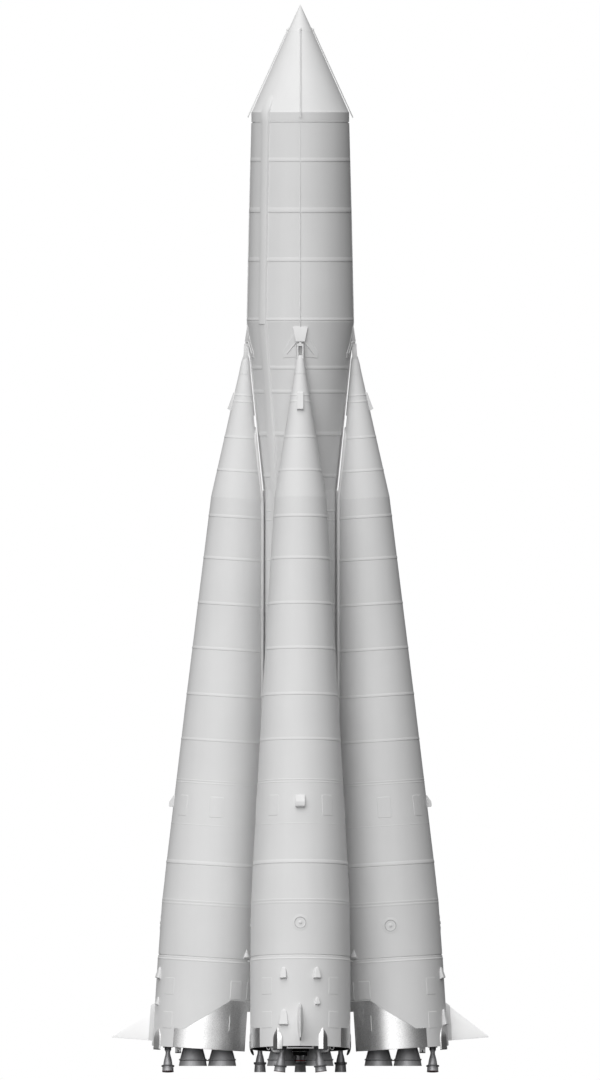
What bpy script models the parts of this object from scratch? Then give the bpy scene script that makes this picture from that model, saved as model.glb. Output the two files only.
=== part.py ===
import math

import bpy
from mathutils import Matrix, Vector

# Space rocket: a core stage with four strap-on boosters, a pointed fairing and
# swivelling small engines. Metres, +Z up, the front booster stands on the -Y side.

# Core stage: radius and height of every change of slope
TIP_TOP = 29.170
TIP_SEAM = (0.3340, 28.451)
CONE_FOOT = (1.3255, 26.228)
BAND_RADIUS = 1.327
BAND_FOOT = 25.955
SHOULDER_RADIUS = 1.3325
WAIST = (1.4472, 20.496)
TAPER_FOOT = (0.975, 15.909)
CORE_TAIL_TOP = 3.400
CORE_FOOT = 0.726

# Boosters: tip of the axis in the front booster's plane, lean of the axis, and
# radius at the distance from the tip along the axis
BOOSTER_TIP = (1.4636, 19.905)
BOOSTER_LEAN = math.radians(3.599)
NOSE_FOOT = (0.1638, 0.843)
NECK = (0.2894, 1.617)
KNEE = (0.7072, 4.224)
FLANK = (1.0349, 9.655)
TAIL_TOP = (1.2970, 14.293)
TAIL_RING = (1.3489, 15.332)
TAIL_STEP = (1.3625, 16.810)
RIM = (1.3680, 19.297)
SKIRT_WALL = 0.020
SKIRT_FLAT = 1.160
SKIRT_LEDGE = 18.203
SKIRT_HIGH_EDGE = 17.925
SKIRT_LOW_EDGE = 18.768
SKIRT_SIDE_ANGLE = 54.0
SKIRT_LOW_ANGLE = 67.8
SKIRT_HIGH_ANGLE = 123.0
TAIL_ANGLES = (0.0, 9.0, 18.0, 27.0, 36.0, 45.0, 53.85, 54.15, 61.0, 67.8, 76.5, 85.0, 94.5,
               104.0, 113.5, 123.0, 132.0, 141.0, 150.0, 160.0, 170.0)
SKIRT_ANGLES = (54.45, 61.0, 67.8, 76.5, 85.0, 94.5, 104.0, 113.5, 123.0, 132.0, 141.0, 148.0,
                154.0, 160.0, 170.0)

# Main nozzles: places around each engine's centre, and the outside shape
BOOSTER_ENGINE_RADIAL = 2.534
BOOSTER_NOZZLES = ((-0.525, -0.399), (0.525, -0.399), (-0.525, 0.399), (0.525, 0.399))
CORE_NOZZLES = ((-0.42, -0.42), (0.42, -0.42), (-0.42, 0.42), (0.42, 0.42))
NOZZLE_OUTSIDE = ((0.200, 1.000), (0.3345, 0.372), (0.3727, 0.368), (0.3727, 0.345),
                  (0.3837, 0.188))
NOZZLE_INSIDE = ((0.080, 0.940), (0.262, 0.600), (0.3727, 0.180))
NOZZLE_SIDES = 16

# Swivelling small engines: hinge places, and the outside then the inside shape
# as radius and distance below the hinge
PIVOT_HEIGHT = 0.740
BOOSTER_PIVOT_RADIAL = 3.615
BOOSTER_PIVOT_SIDE = 0.479
BOOSTER_PIVOT_CANT = math.radians(7.0)
CORE_PIVOT_RADIAL = 1.100
HOOD_SECTION = ((0.962, 1.480), (1.180, 1.300), (1.375, 1.080), (1.387, 0.860), (1.387, 0.700),
                (1.370, 0.600), (1.332, 0.520), (1.290, 0.470), (1.277, 0.482), (1.312, 0.545),
                (1.347, 0.620), (1.359, 0.700), (1.359, 0.850), (0.962, 0.850))
HOOD_HALF = 0.190
SWIVEL_LENGTH = 0.7274
SWIVEL_SHAPE = ((0.045, 0.030), (0.0915, 0.038), (0.0915, 0.134), (0.0573, 0.150),
                (0.0573, 0.205), (0.105, 0.385), (0.1215, 0.553), (0.1625, 0.555),
                (0.1625, 0.588), (0.137, 0.592))
SWIVEL_SIDES = 14
SWIVEL_EXIT = 0.1475
SWIVEL_LIP = 0.009
DRUM_RADIUS = 0.055
DRUM_HALF = 0.098
LUG_GAP = 0.0003

# Steering fins on the outer side of every booster
FIN_ROOT = 1.4844
FIN_TIP = 2.482
FIN_TOP = 18.235
FIN_FOOT = 19.150
FIN_TIP_TOP = 19.127
FIN_HALF_ROOT = 0.024
FIN_HALF_TIP = 0.010
FIN_HINGE = 18.830
PYLON_HALF = 0.0900
PYLON_FACE = 1.484
WEDGE_ANGLE = 27.35
WEDGE_SPREAD = 5.95
WEDGE_RIDGE = 0.120

SEAT = 0.0003
SKIRT_JOINT = 0.0014
BODY_SIDES = 44
SIDES = ("front", "right", "back", "left")


def clear_scene():
    for item in list(bpy.data.objects):
        bpy.data.objects.remove(item, do_unlink=True)


def make_material(name, color, metallic, roughness):
    mat = bpy.data.materials.new(name)
    mat.use_nodes = True
    shader = mat.node_tree.nodes["Principled BSDF"]
    shader.inputs["Base Color"].default_value = (*color, 1.0)
    shader.inputs["Metallic"].default_value = metallic
    shader.inputs["Roughness"].default_value = roughness
    mat.diffuse_color = (*color, 1.0)
    return mat


def painted(name, level=0.66, warm=0.0):
    return make_material(name + "_paint", (level + warm, level, level - warm), 0.0, 0.5)


def bare_metal(name, level=0.55):
    return make_material(name + "_metal", (level, level, level * 1.02), 1.0, 0.35)


def dark_metal(name, level=0.16):
    return make_material(name + "_dark", (level, level, level * 1.04), 0.9, 0.45)


def make_piece(name, shape, mat, place=None, origin=None):
    # One closed body from corners and faces, faces turned outwards, round sides smooth
    corners, faces = shape
    if place is not None:
        corners = [place @ Vector(p) for p in corners]
    origin = Vector(origin) if origin is not None else Vector((0.0, 0.0, 0.0))
    mesh = bpy.data.meshes.new(name)
    mesh.from_pydata([tuple(Vector(p) - origin) for p in corners], [], faces)
    mesh.validate()
    turn_outwards(mesh)
    piece = bpy.data.objects.new(name, mesh)
    piece.location = origin
    bpy.context.scene.collection.objects.link(piece)
    mesh.materials.append(mat)
    finish_shading(mesh)
    return piece


def turn_outwards(mesh):
    volume = 0.0
    mesh.calc_loop_triangles()
    for tri in mesh.loop_triangles:
        a, b, c = (mesh.vertices[i].co for i in tri.vertices)
        volume += a.dot(b.cross(c))
    if volume < 0.0:
        mesh.flip_normals()


def finish_shading(mesh):
    mesh.polygons.foreach_set("use_smooth", [True] * len(mesh.polygons))
    mesh.set_sharp_from_angle(angle=math.radians(28))
    mesh.update()


def combine(base, others, operation="UNION"):
    # Others are welded to the base, or cut from it, and then taken away
    for other in others:
        change = base.modifiers.new("combine", "BOOLEAN")
        change.operation = operation
        change.solver = "EXACT"
        change.object = other
        depsgraph = bpy.context.evaluated_depsgraph_get()
        result = bpy.data.meshes.new_from_object(base.evaluated_get(depsgraph))
        base.modifiers.clear()
        mat = base.data.materials[0]
        base.data = result
        result.materials.clear()
        result.materials.append(mat)
        result.polygons.foreach_set("material_index", [0] * len(result.polygons))
        finish_shading(result)
        bpy.data.objects.remove(other, do_unlink=True)
    return base


def loft(rings):
    # Rings of equal length joined in order, both ends closed by one flat face
    count = len(rings[0])
    corners = [p for ring in rings for p in ring]
    faces = []
    for i in range(len(rings) - 1):
        for j in range(count):
            k = (j + 1) % count
            faces.append((i * count + j, i * count + k, (i + 1) * count + k, (i + 1) * count + j))
    last = (len(rings) - 1) * count
    faces.append(tuple(range(count - 1, -1, -1)))
    faces.append(tuple(range(last, last + count)))
    return corners, faces


def circle(radius, height, sides):
    step = 2.0 * math.pi / sides
    return [(radius * math.sin(i * step), -radius * math.cos(i * step), height)
            for i in range(sides)]


def lathe(profile, sides=BODY_SIDES):
    return loft([circle(radius, height, sides) for radius, height in profile])


def cone_to_point(profile, top, sides=BODY_SIDES):
    corners, faces = lathe(profile, sides)
    faces = faces[:-2] + [faces[-1]]
    corners = corners + [(0.0, 0.0, top)]
    point = len(corners) - 1
    faces += [(i, point, (i + 1) % sides) for i in range(sides)]
    return corners, faces


def box(x0, x1, y0, y1, z0, z1):
    low = [(x0, y0, z0), (x1, y0, z0), (x1, y1, z0), (x0, y1, z0)]
    high = [(x, y, z1) for x, y, _ in low]
    return loft([low, high])


def rod(start, end, radius, sides=12):
    start = Vector(start)
    end = Vector(end)
    turn = (end - start).to_track_quat("Z", "Y").to_matrix()
    rings = []
    for foot in (start, end):
        rings.append([tuple(foot + turn @ Vector(p)) for p in circle(radius, 0.0, sides)])
    return loft(rings)


def around(index):
    return Matrix.Rotation(index * math.pi / 2.0, 4, "Z")


def booster_place(index):
    radial, height = BOOSTER_TIP
    lean = Matrix.Rotation(-BOOSTER_LEAN, 4, "X")
    return around(index) @ Matrix.Translation((0.0, -radial, height)) @ lean


def skin_radius(distance):
    stations = (NOSE_FOOT, NECK, KNEE, FLANK, TAIL_TOP, TAIL_RING, TAIL_STEP, RIM)
    for (r0, s0), (r1, s1) in zip(stations, stations[1:]):
        if distance <= s1:
            return r0 + (r1 - r0) * (distance - s0) / (s1 - s0)
    return RIM[0]


def taper_radius(height):
    r0, z0 = WAIST
    r1, z1 = TAPER_FOOT
    return r0 + (r1 - r0) * (height - z0) / (z1 - z0)


def polar(angle, radius, height):
    # Angle in degrees from the outward side, which is -Y
    turn = math.radians(angle)
    return (radius * math.sin(turn), -radius * math.cos(turn), height)


# Core stage

def nose_cap():
    radius, foot = TIP_SEAM
    cap = make_piece("nose_cap", cone_to_point([(radius, foot)], TIP_TOP, 48), painted("nose_cap"))
    parts = []
    for index in range(4):
        turn = around(index)
        cup = box(-0.035, 0.035, -0.385, -0.262, foot + SEAT, foot + 0.055)
        parts.append(make_piece("cup", cup, cap.data.materials[0], turn))
        line = rod((0.0, -0.3495, foot + 0.030), (0.0, -1.4445, 26.076), 0.0125, 8)
        parts.append(make_piece("line", line, cap.data.materials[0], turn))
    return combine(cap, parts)


def nose_cone():
    profile = [CONE_FOOT, (TIP_SEAM[0], TIP_SEAM[1] - SEAT)]
    make_piece("nose_fairing", lathe(profile, 64), painted("nose_fairing", 0.70))


def fairing_band():
    top = CONE_FOOT[1] - SEAT
    profile = [(BAND_RADIUS, BAND_FOOT + SEAT), (BAND_RADIUS, top)]
    make_piece("fairing_band", lathe(profile, 64), painted("fairing_band"))


def core_tanks():
    profile = [WAIST, (SHOULDER_RADIUS, BAND_FOOT)]
    make_piece("oxidizer_tank", lathe(profile, 64), painted("oxidizer_tank"))
    profile = [(TAPER_FOOT[0], TAPER_FOOT[1]), (WAIST[0], WAIST[1] - SEAT)]
    make_piece("tank_taper", lathe(profile, 64), painted("tank_taper"))
    radius = TAPER_FOOT[0]
    profile = [(radius, CORE_TAIL_TOP + SEAT), (radius, TAPER_FOOT[1] - SEAT)]
    make_piece("core_fuel_tank", lathe(profile, 64), painted("core_fuel_tank"))


def core_tail():
    # Hollow skirt with a hood over the hinge of every small engine, turned in at its lip
    radius = TAPER_FOOT[0]
    inside = radius - SKIRT_WALL
    rings = [circle(radius, CORE_TAIL_TOP, 48), circle(radius, CORE_FOOT, 48)]
    rings += [circle(inside, CORE_FOOT, 48), circle(inside, 1.900, 48)]
    skirt = make_piece("core_tail_skirt", loft(rings), painted("core_tail_skirt", 0.55))
    boxes = []
    for index in range(4):
        rings = [[(x, -r, z) for r, z in HOOD_SECTION] for x in (-HOOD_HALF, HOOD_HALF)]
        boxes.append(make_piece("hood", loft(rings), skirt.data.materials[0], around(index)))
        boxes += hinge_lugs(skirt.data.materials[0], 0.0, CORE_PIVOT_RADIAL, 0.860, around(index))
    return combine(skirt, boxes)


def hinge_lugs(mat, side, radial, top, place):
    # Two cheeks, one on each side of a small engine's drum
    cheeks = []
    for sign in (-1.0, 1.0):
        near = DRUM_HALF + LUG_GAP
        y0, y1 = sorted((-radial + sign * near, -radial + sign * (near + 0.030)))
        outline = [(side - 0.060, top), (side - 0.060, PIVOT_HEIGHT)]
        for i in range(1, 6):
            turn = math.radians(180.0 + 36.0 * i)
            outline.append((side + 0.060 * math.cos(turn), PIVOT_HEIGHT + 0.060 * math.sin(turn)))
        outline.append((side + 0.060, top))
        rings = [[(x, y, z) for x, z in outline] for y in (y0, y1)]
        cheeks.append(make_piece("cheek", loft(rings), mat, place))
    return cheeks


def core_engine():
    radius = TAPER_FOOT[0] - SKIRT_WALL - SEAT
    plate = lathe([(radius, 0.800), (radius, 0.850)], 48)
    engine = make_piece("core_engine", plate, dark_metal("core_engine"))
    mat = engine.data.materials[0]
    block = make_piece("block", box(-0.60, 0.60, -0.60, 0.60, 0.840, 1.700), mat)
    return add_nozzles(engine, block, CORE_NOZZLES, 0.0, around(0))


def add_nozzles(engine, block, places, radial, place):
    mat = engine.data.materials[0]
    outside = lathe(NOZZLE_OUTSIDE, NOZZLE_SIDES)
    inside = lathe(NOZZLE_INSIDE, NOZZLE_SIDES)
    solids = [block]
    hollows = []
    for x, y in places:
        shift = place @ Matrix.Translation((x, y - radial, 0.0))
        solids.append(make_piece("bell", outside, mat, shift))
        hollows.append(make_piece("hollow", inside, mat, shift))
    combine(engine, solids)
    return combine(engine, hollows, "DIFFERENCE")


def core_brackets():
    # Blocks that take the push of the boosters' noses
    half_top, half_foot = 0.205, 0.124
    top, foot = 20.360, 19.957
    for index, side in enumerate(SIDES):
        rings = []
        for height, half, face in ((top, half_top, 1.4600), (foot, half_foot, 1.5150)):
            inner = taper_radius(height) + 0.0015
            columns = [half * (j - 4) / 4.0 for j in range(9)]
            back = [(x, -math.sqrt(inner * inner - x * x), height) for x in columns]
            front = [(half, -face, height), (-half, -face, height)]
            rings.append(back + front)
        name = "core_bracket_" + side
        make_piece(name, loft(rings), painted(name, 0.62), around(index))


def cable_duct():
    # Flat duct down the core, between the front and the left booster
    half = 0.100
    stations = [(1.1305, 26.668, 0.012), (1.2455, 26.410, 0.055), (1.3215, 26.240, 0.060),
                (1.3285, 26.229, 0.062), (1.3340, 25.958, 0.066), (1.4482, 20.490, 0.066),
                (1.4040, 20.070, 0.066), (0.9752, 15.890, 0.066), (0.9752, 3.560, 0.066),
                (0.9752, 3.480, 0.020)]
    rings = []
    for radius, height, proud in stations:
        inner = radius + 0.0006
        outer = inner + proud
        columns = [half * (j - 2) / 2.0 for j in range(5)]
        back = [(x, -math.sqrt(inner * inner - x * x), height) for x in columns]
        rings.append(back + [(half, -outer + 0.012, height), (half * 0.7, -outer, height),
                             (-half * 0.7, -outer, height), (-half, -outer + 0.012, height)])
    turn = Matrix.Rotation(math.radians(-45.0), 4, "Z")
    make_piece("core_cable_duct", loft(rings), painted("core_cable_duct", 0.62), turn)


def tail_ties():
    # Ring round the core with two rods to each booster
    radius = TAPER_FOOT[0] + SEAT
    count = 48
    rings = [circle(radius, 3.080, count), circle(radius + 0.030, 3.080, count)]
    rings += [circle(radius + 0.030, 3.010, count), circle(radius, 3.010, count)]
    corners = [p for ring in rings for p in ring]
    faces = []
    for i in range(4):
        for j in range(count):
            a, b = i * count, ((i + 1) % 4) * count
            k = (j + 1) % count
            faces.append((a + j, a + k, b + k, b + j))
    hoop = make_piece("tail_tie_rods", (corners, faces), painted("tail_tie_rods", 0.5))
    ties = []
    for index in range(4):
        for sign in (-1.0, 1.0):
            tie = rod((sign * 0.640, -0.760, 3.045), (sign * 0.852, -1.436, 3.045), 0.020, 6)
            ties.append(make_piece("tie", tie, hoop.data.materials[0], around(index)))
    return combine(hoop, ties)


# Boosters, drawn standing on their own axis with the tip at the origin

def booster_nose(side, place):
    # Pointed cap with a slotted fork and a stud that stands under the core bracket
    radius, foot = NOSE_FOOT
    profile = [(radius, -foot), (0.118, -0.430), (0.085, -0.312)]
    name = "booster_%s_nose" % side
    cap = make_piece(name, lathe(profile, 24), painted(name, 0.6), place)
    mat = cap.data.materials[0]
    fork = make_piece("fork", box(-0.090, 0.090, -0.070, 0.070, -0.400, -0.002), mat, place)
    window = make_piece("window", box(-0.052, 0.052, -0.2, 0.2, -0.308, -0.070), mat, place)
    combine(fork, [window], "DIFFERENCE")
    stud = make_piece("stud", lathe([(0.040, -0.030), (0.040, 0.0490)], 12), mat, place)
    combine(cap, [fork, stud])


def booster_upper_tank(side, place):
    profile = [(KNEE[0], -KNEE[1]), (NECK[0], -NECK[1]), (NOSE_FOOT[0], -NOSE_FOOT[1] - SEAT)]
    name = "booster_%s_upper_tank" % side
    tank = make_piece(name, lathe(profile), painted(name), place)
    top, foot = 1.345, 1.822
    lug = wedge_lug(0.090, top, foot, 0.096)
    return combine(tank, [make_piece("lug", lug, tank.data.materials[0], place)])


def wedge_lug(half, top, foot, proud):
    # Lug that is flush with the skin at its top and proud at its flat foot, which is
    # relieved beside the skin
    rings = []
    slope = proud / (foot - top)
    for distance, inner in ((top, -0.060), (foot - 0.020, -0.060), (foot, 0.020)):
        face = skin_radius(distance) + 0.004 + slope * (distance - top)
        deep = skin_radius(distance) + inner
        rings.append([(-half, -deep, -distance), (-half, -face, -distance),
                      (half, -face, -distance), (half, -deep, -distance)])
    return loft(rings)


def booster_lower_tank(side, place):
    profile = [(TAIL_TOP[0], -TAIL_TOP[1]), (FLANK[0], -FLANK[1]), (KNEE[0], -KNEE[1] - SEAT)]
    name = "booster_%s_lower_tank" % side
    tank = make_piece(name, lathe(profile), painted(name), place)
    rings = []
    for distance, proud in ((12.400, 0.030), (12.590, 0.120), (12.690, 0.120), (12.745, 0.090)):
        face = skin_radius(distance) + proud
        half = 0.125 if distance < 12.5 else 0.137
        rings.append([(-half, -1.10, -distance), (-half, -face, -distance),
                      (half, -face, -distance), (half, -1.10, -distance)])
    return combine(tank, [make_piece("lug", loft(rings), tank.data.materials[0], place)])


def skirt_edge(angle):
    # Distance from the tip of the seam between painted tail and bare metal skirt
    angle = abs(angle)
    if angle < SKIRT_SIDE_ANGLE:
        return RIM[1]
    if angle <= SKIRT_LOW_ANGLE:
        return SKIRT_LOW_EDGE
    if angle >= SKIRT_HIGH_ANGLE:
        return SKIRT_HIGH_EDGE
    part = (angle - SKIRT_LOW_ANGLE) / (SKIRT_HIGH_ANGLE - SKIRT_LOW_ANGLE)
    return SKIRT_LOW_EDGE + part * (SKIRT_HIGH_EDGE - SKIRT_LOW_EDGE)


def flat_radius(angle):
    # Radius of the skirt below its ledge, where the side to the core is cut flat
    radius = RIM[0]
    inward = -math.cos(math.radians(angle))
    if inward * radius > SKIRT_FLAT:
        return SKIRT_FLAT / inward
    return radius


def booster_tail(side, place):
    angles = list(TAIL_ANGLES) + [180.0] + [360.0 - a for a in reversed(TAIL_ANGLES[1:])]
    signed = [a if a <= 180.0 else a - 360.0 for a in angles]
    rings = [[polar(a, r, -s - SEAT) for a in angles] for r, s in (TAIL_TOP, TAIL_RING, TAIL_STEP)]
    for inset in (0.0, SKIRT_WALL):
        ring = []
        for a in signed:
            edge = skirt_edge(a)
            ring.append(polar(a, skin_radius(edge) - inset, -edge))
        rings.append(ring)
    rings.append([polar(a, TAIL_STEP[0] - SKIRT_WALL, -17.100) for a in angles])
    name = "booster_%s_tail" % side
    tail = make_piece(name, loft(rings), painted(name), place)
    mat = tail.data.materials[0]
    wedges = [make_piece("wedge", tail_wedge(sign), mat, place) for sign in (-1.0, 1.0)]
    return combine(tail, wedges)


def tail_wedge(sign):
    # Ridge over the hinge of a small engine, its edge drawn straight outwards
    middle = sign * WEDGE_ANGLE
    rings = []
    low, high = RIM[0] - 0.012, RIM[0] + 0.002
    for distance, share in ((18.775, 0.06), (18.880, 0.55), (19.024, 1.0), (19.340, 1.0)):
        left, right = middle - WEDGE_SPREAD * share, middle + WEDGE_SPREAD * share
        ring = [polar(left, low, -distance), polar(left, high, -distance)]
        x, y, z = polar(middle, RIM[0], -distance)
        ring.append((x, y - WEDGE_RIDGE * share, z))
        rings.append(ring + [polar(right, high, -distance), polar(right, low, -distance)])
    return loft(rings)


def booster_skirt(side, place):
    angles = list(SKIRT_ANGLES) + [180.0] + [360.0 - a for a in reversed(SKIRT_ANGLES)]
    rings = []
    for angle in angles:
        signed = angle if angle <= 180.0 else angle - 360.0
        edge = skirt_edge(signed) + SKIRT_JOINT
        ledge = max(SKIRT_LEDGE, edge + 0.030)
        full, flat = RIM[0] - 0.002, flat_radius(angle) - 0.002
        section = [(full, edge), (full, ledge), (flat, ledge + 0.004), (flat, RIM[1])]
        section += [(flat - SKIRT_WALL, RIM[1]), (flat - SKIRT_WALL, ledge - 0.018)]
        section += [(full - SKIRT_WALL, ledge - 0.022), (full - SKIRT_WALL, edge)]
        rings.append([polar(angle, r, -s) for r, s in section])
    name = "booster_%s_heat_skirt" % side
    make_piece(name, loft(rings), bare_metal(name), place)


def booster_engine(side, index, place):
    half = [a for a in TAIL_ANGLES if a < SKIRT_SIDE_ANGLE] + list(SKIRT_ANGLES)
    outline = []
    for angle in half + [180.0] + [360.0 - a for a in reversed(half[1:])]:
        outline.append(polar(angle, flat_radius(angle) - SKIRT_WALL - 0.0028, 0.0))
    rings = [[(x, y, -s) for x, y, _ in outline] for s in (19.177, 19.127)]
    name = "booster_%s_engine" % side
    engine = make_piece(name, loft(rings), dark_metal(name), place)
    mat = engine.data.materials[0]
    block = make_piece("block", box(-0.85, 0.85, -0.62, 0.86, -19.140, -18.450), mat, place)
    cheeks = []
    for sign in (-1.0, 1.0):
        cheeks += hinge_lugs(mat, sign * BOOSTER_PIVOT_SIDE, BOOSTER_PIVOT_RADIAL, 0.850, around(index))
    combine(engine, cheeks)
    return add_nozzles(engine, block, BOOSTER_NOZZLES, BOOSTER_ENGINE_RADIAL, around(index))


def swivel(name, side, radial, cant, index):
    # Small engine: drum on the hinge, bottle-shaped chamber and bell with a ring
    length = (PIVOT_HEIGHT - SWIVEL_EXIT * abs(math.sin(cant))) / math.cos(cant)
    stretch = length / SWIVEL_LENGTH
    outer = [(r, -q * stretch) for r, q in SWIVEL_SHAPE] + [(SWIVEL_EXIT, -length)]
    inner = [(SWIVEL_EXIT - SWIVEL_LIP, -length), (0.096, -0.385 * stretch), (0.040, -0.220 * stretch)]
    lean = Matrix.Rotation(-cant if side > 0.0 else cant, 4, "Y")
    pivot = Matrix.Translation((side, -radial, PIVOT_HEIGHT))
    place = around(index) @ pivot @ lean
    origin = place @ Vector((0.0, 0.0, 0.0))
    piece = make_piece(name, lathe(outer + inner, SWIVEL_SIDES), dark_metal(name, 0.3), place, origin)
    drum = rod((0.0, -DRUM_HALF, 0.0), (0.0, DRUM_HALF, 0.0), DRUM_RADIUS, 12)
    return combine(piece, [make_piece("drum", drum, piece.data.materials[0], place)])


def fin_pylon(side, place):
    # Leaf-shaped foot of the fin with a narrow flat ridge, seated on the booster's skin
    columns = [-1.0, -0.25, 0.0, 0.25, 1.0]
    rings = []
    widths = ((18.130, 0.12, 0.15), (18.210, 0.50, 1.0), (18.350, 0.80, 1.0), (18.620, 1.0, 1.0),
              (18.850, 0.84, 1.0), (19.070, 0.34, 1.0), (19.120, 0.28, 1.0))
    for distance, share, lift in widths:
        skin = skin_radius(distance) + SEAT
        half = PYLON_HALF * share
        face = skin + (PYLON_FACE - skin) * lift
        back = [(half * c, -math.sqrt(skin * skin - (half * c) ** 2), -distance) for c in columns]
        front = [(half, -skin - 0.006, -distance)]
        front += [(half * c, -face, -distance) for c in (0.25, 0.0, -0.25)]
        front.append((-half, -skin - 0.006, -distance))
        rings.append(back + front)
    name = "booster_%s_fin_pylon" % side
    make_piece(name, loft(rings), painted(name, 0.6), place)


def steering_fin(side, place):
    # Thin triangular fin, thicker at its root, turning on an outward hinge
    rings = []
    for out, top, foot, half in ((FIN_ROOT, FIN_TOP, FIN_FOOT, FIN_HALF_ROOT),
                                 (FIN_TIP, FIN_TIP_TOP - 0.050, FIN_TIP_TOP + 0.005, FIN_HALF_TIP)):
        middle = top + (foot - top) * 0.55
        rings.append([(0.0, -out, -top), (half, -out, -middle), (half * 0.5, -out, -foot),
                      (-half * 0.5, -out, -foot), (-half, -out, -middle)])
    name = "booster_%s_fin" % side
    origin = place @ Vector((0.0, -FIN_ROOT, -FIN_HINGE))
    make_piece(name, loft(rings), painted(name, 0.62), place, origin)


def make_booster(index, side):
    place = booster_place(index)
    booster_nose(side, place)
    booster_upper_tank(side, place)
    booster_lower_tank(side, place)
    booster_tail(side, place)
    booster_skirt(side, place)
    booster_engine(side, index, place)
    for letter, sign in (("a", -1.0), ("b", 1.0)):
        name = "booster_%s_swivel_%s" % (side, letter)
        swivel(name, sign * BOOSTER_PIVOT_SIDE, BOOSTER_PIVOT_RADIAL, BOOSTER_PIVOT_CANT, index)
    fin_pylon(side, place)
    steering_fin(side, place)


def make_core():
    nose_cap()
    nose_cone()
    fairing_band()
    core_tanks()
    core_tail()
    core_engine()
    core_brackets()
    cable_duct()
    tail_ties()
    for index, side in enumerate(SIDES):
        swivel("core_swivel_" + side, 0.0, CORE_PIVOT_RADIAL, 0.0, index)


clear_scene()
make_core()
for number, direction in enumerate(SIDES):
    make_booster(number, direction)
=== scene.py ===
import math

import bmesh
import bpy
import numpy as np
from mathutils import Matrix


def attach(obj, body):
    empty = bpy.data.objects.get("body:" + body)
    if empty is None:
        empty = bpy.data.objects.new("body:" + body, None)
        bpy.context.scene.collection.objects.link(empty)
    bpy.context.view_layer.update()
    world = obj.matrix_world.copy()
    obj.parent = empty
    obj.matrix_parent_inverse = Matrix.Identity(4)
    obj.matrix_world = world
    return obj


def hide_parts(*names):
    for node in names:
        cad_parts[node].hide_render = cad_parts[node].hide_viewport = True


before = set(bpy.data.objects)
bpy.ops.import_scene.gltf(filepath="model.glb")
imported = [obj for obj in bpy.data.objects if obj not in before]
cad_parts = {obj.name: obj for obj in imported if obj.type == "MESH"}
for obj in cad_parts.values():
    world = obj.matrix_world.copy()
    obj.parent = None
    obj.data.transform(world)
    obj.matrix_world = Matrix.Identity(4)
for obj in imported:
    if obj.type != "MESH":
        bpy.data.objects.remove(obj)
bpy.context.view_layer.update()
print("frame loaded:", len(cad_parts), "solids")

sides = ("front", "right", "back", "left")
signs = (-1.0, 1.0)

# level camera, straight on and without perspective; its places are in the photograph's pixels
cameraLook = {"metrePerPixel": 0.027305, "axisPixel": 300.3, "centrePixel": 300.0, "groundPixel": 1072.6,
    "middlePixel": 540.0, "frameHeight": 1080, "distance": 60.0, "clipEnd": 400.0}


def makeCamera():
    look = cameraLook
    data = bpy.data.cameras.new("camera")
    data.type = "ORTHO"
    data.ortho_scale = look["frameHeight"] * look["metrePerPixel"]
    data.clip_end = look["clipEnd"]
    camera = bpy.data.objects.new("camera", data)
    bpy.context.scene.collection.objects.link(camera)
    shift = (look["centrePixel"] - look["axisPixel"]) * look["metrePerPixel"]
    height = (look["groundPixel"] - look["middlePixel"]) * look["metrePerPixel"]
    camera.location = (shift, -look["distance"], height)
    camera.rotation_euler = (math.pi / 2.0, 0.0, 0.0)
    bpy.context.scene.camera = camera


makeCamera()


def linear(code):
    # sRGB hex to linear light
    channels = [int(code[i:i + 2], 16) / 255.0 for i in (0, 2, 4)]
    return tuple(c / 12.92 if c <= 0.04045 else ((c + 0.055) / 1.055) ** 2.4 for c in channels) + (1.0,)


def addNode(tree, kind, settings=None, links=None):
    # One node with its values, and links as input name or number: (node, output)
    node = tree.nodes.new(kind)
    for key, value in (settings or {}).items():
        if isinstance(key, str) and key in node.bl_rna.properties:
            setattr(node, key, value)
        else:
            node.inputs[key].default_value = value
    for key, (source, output) in (links or {}).items():
        tree.links.new(source.outputs[output], node.inputs[key])
    return node


def newMaterial(name, shaderSettings):
    material = bpy.data.materials.new(name)
    material.use_nodes = True
    tree = material.node_tree
    tree.nodes.clear()
    shader = addNode(tree, "ShaderNodeBsdfPrincipled", shaderSettings)
    addNode(tree, "ShaderNodeOutputMaterial", None, {"Surface": (shader, "BSDF")})
    place = addNode(tree, "ShaderNodeTexCoord")
    return material, tree, shader, place


def ramp(tree, source, output, stops):
    node = addNode(tree, "ShaderNodeValToRGB", None, {"Fac": (source, output)})
    band = node.color_ramp
    while len(band.elements) > len(stops):
        band.elements.remove(band.elements[-1])
    while len(band.elements) < len(stops):
        band.elements.new(1.0)
    for element, (position, color) in zip(band.elements, stops):
        element.position = position
        element.color = color
    return node


def noise(tree, place, scale, detail, roughness=0.5, lengthwise=1.0):
    # Cloud pattern with so many clouds a metre; lengthwise under 1 draws it out along the height
    source = (place, "Object")
    if lengthwise != 1.0:
        source = (addNode(tree, "ShaderNodeMapping", {"Scale": (1.0, 1.0, lengthwise)}, {"Vector": source}), "Vector")
    settings = {"Scale": scale, "Detail": detail, "Roughness": roughness}
    return addNode(tree, "ShaderNodeTexNoise", settings, {"Vector": source}), "Fac"


def mixed(tree, first, second, share):
    # First pattern with its share of the second one
    settings = {"data_type": "FLOAT", "Factor": share}
    return addNode(tree, "ShaderNodeMix", settings, {"A": first, "B": second}), "Result"


def ranged(tree, source, fromLow, fromHigh, toLow=0.0, toHigh=1.0, kind="LINEAR"):
    ends = {"From Min": fromLow, "From Max": fromHigh, "To Min": toLow, "To Max": toHigh}
    settings = {"interpolation_type": kind, **ends}
    return addNode(tree, "ShaderNodeMapRange", settings, {"Value": source}), "Result"


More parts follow.
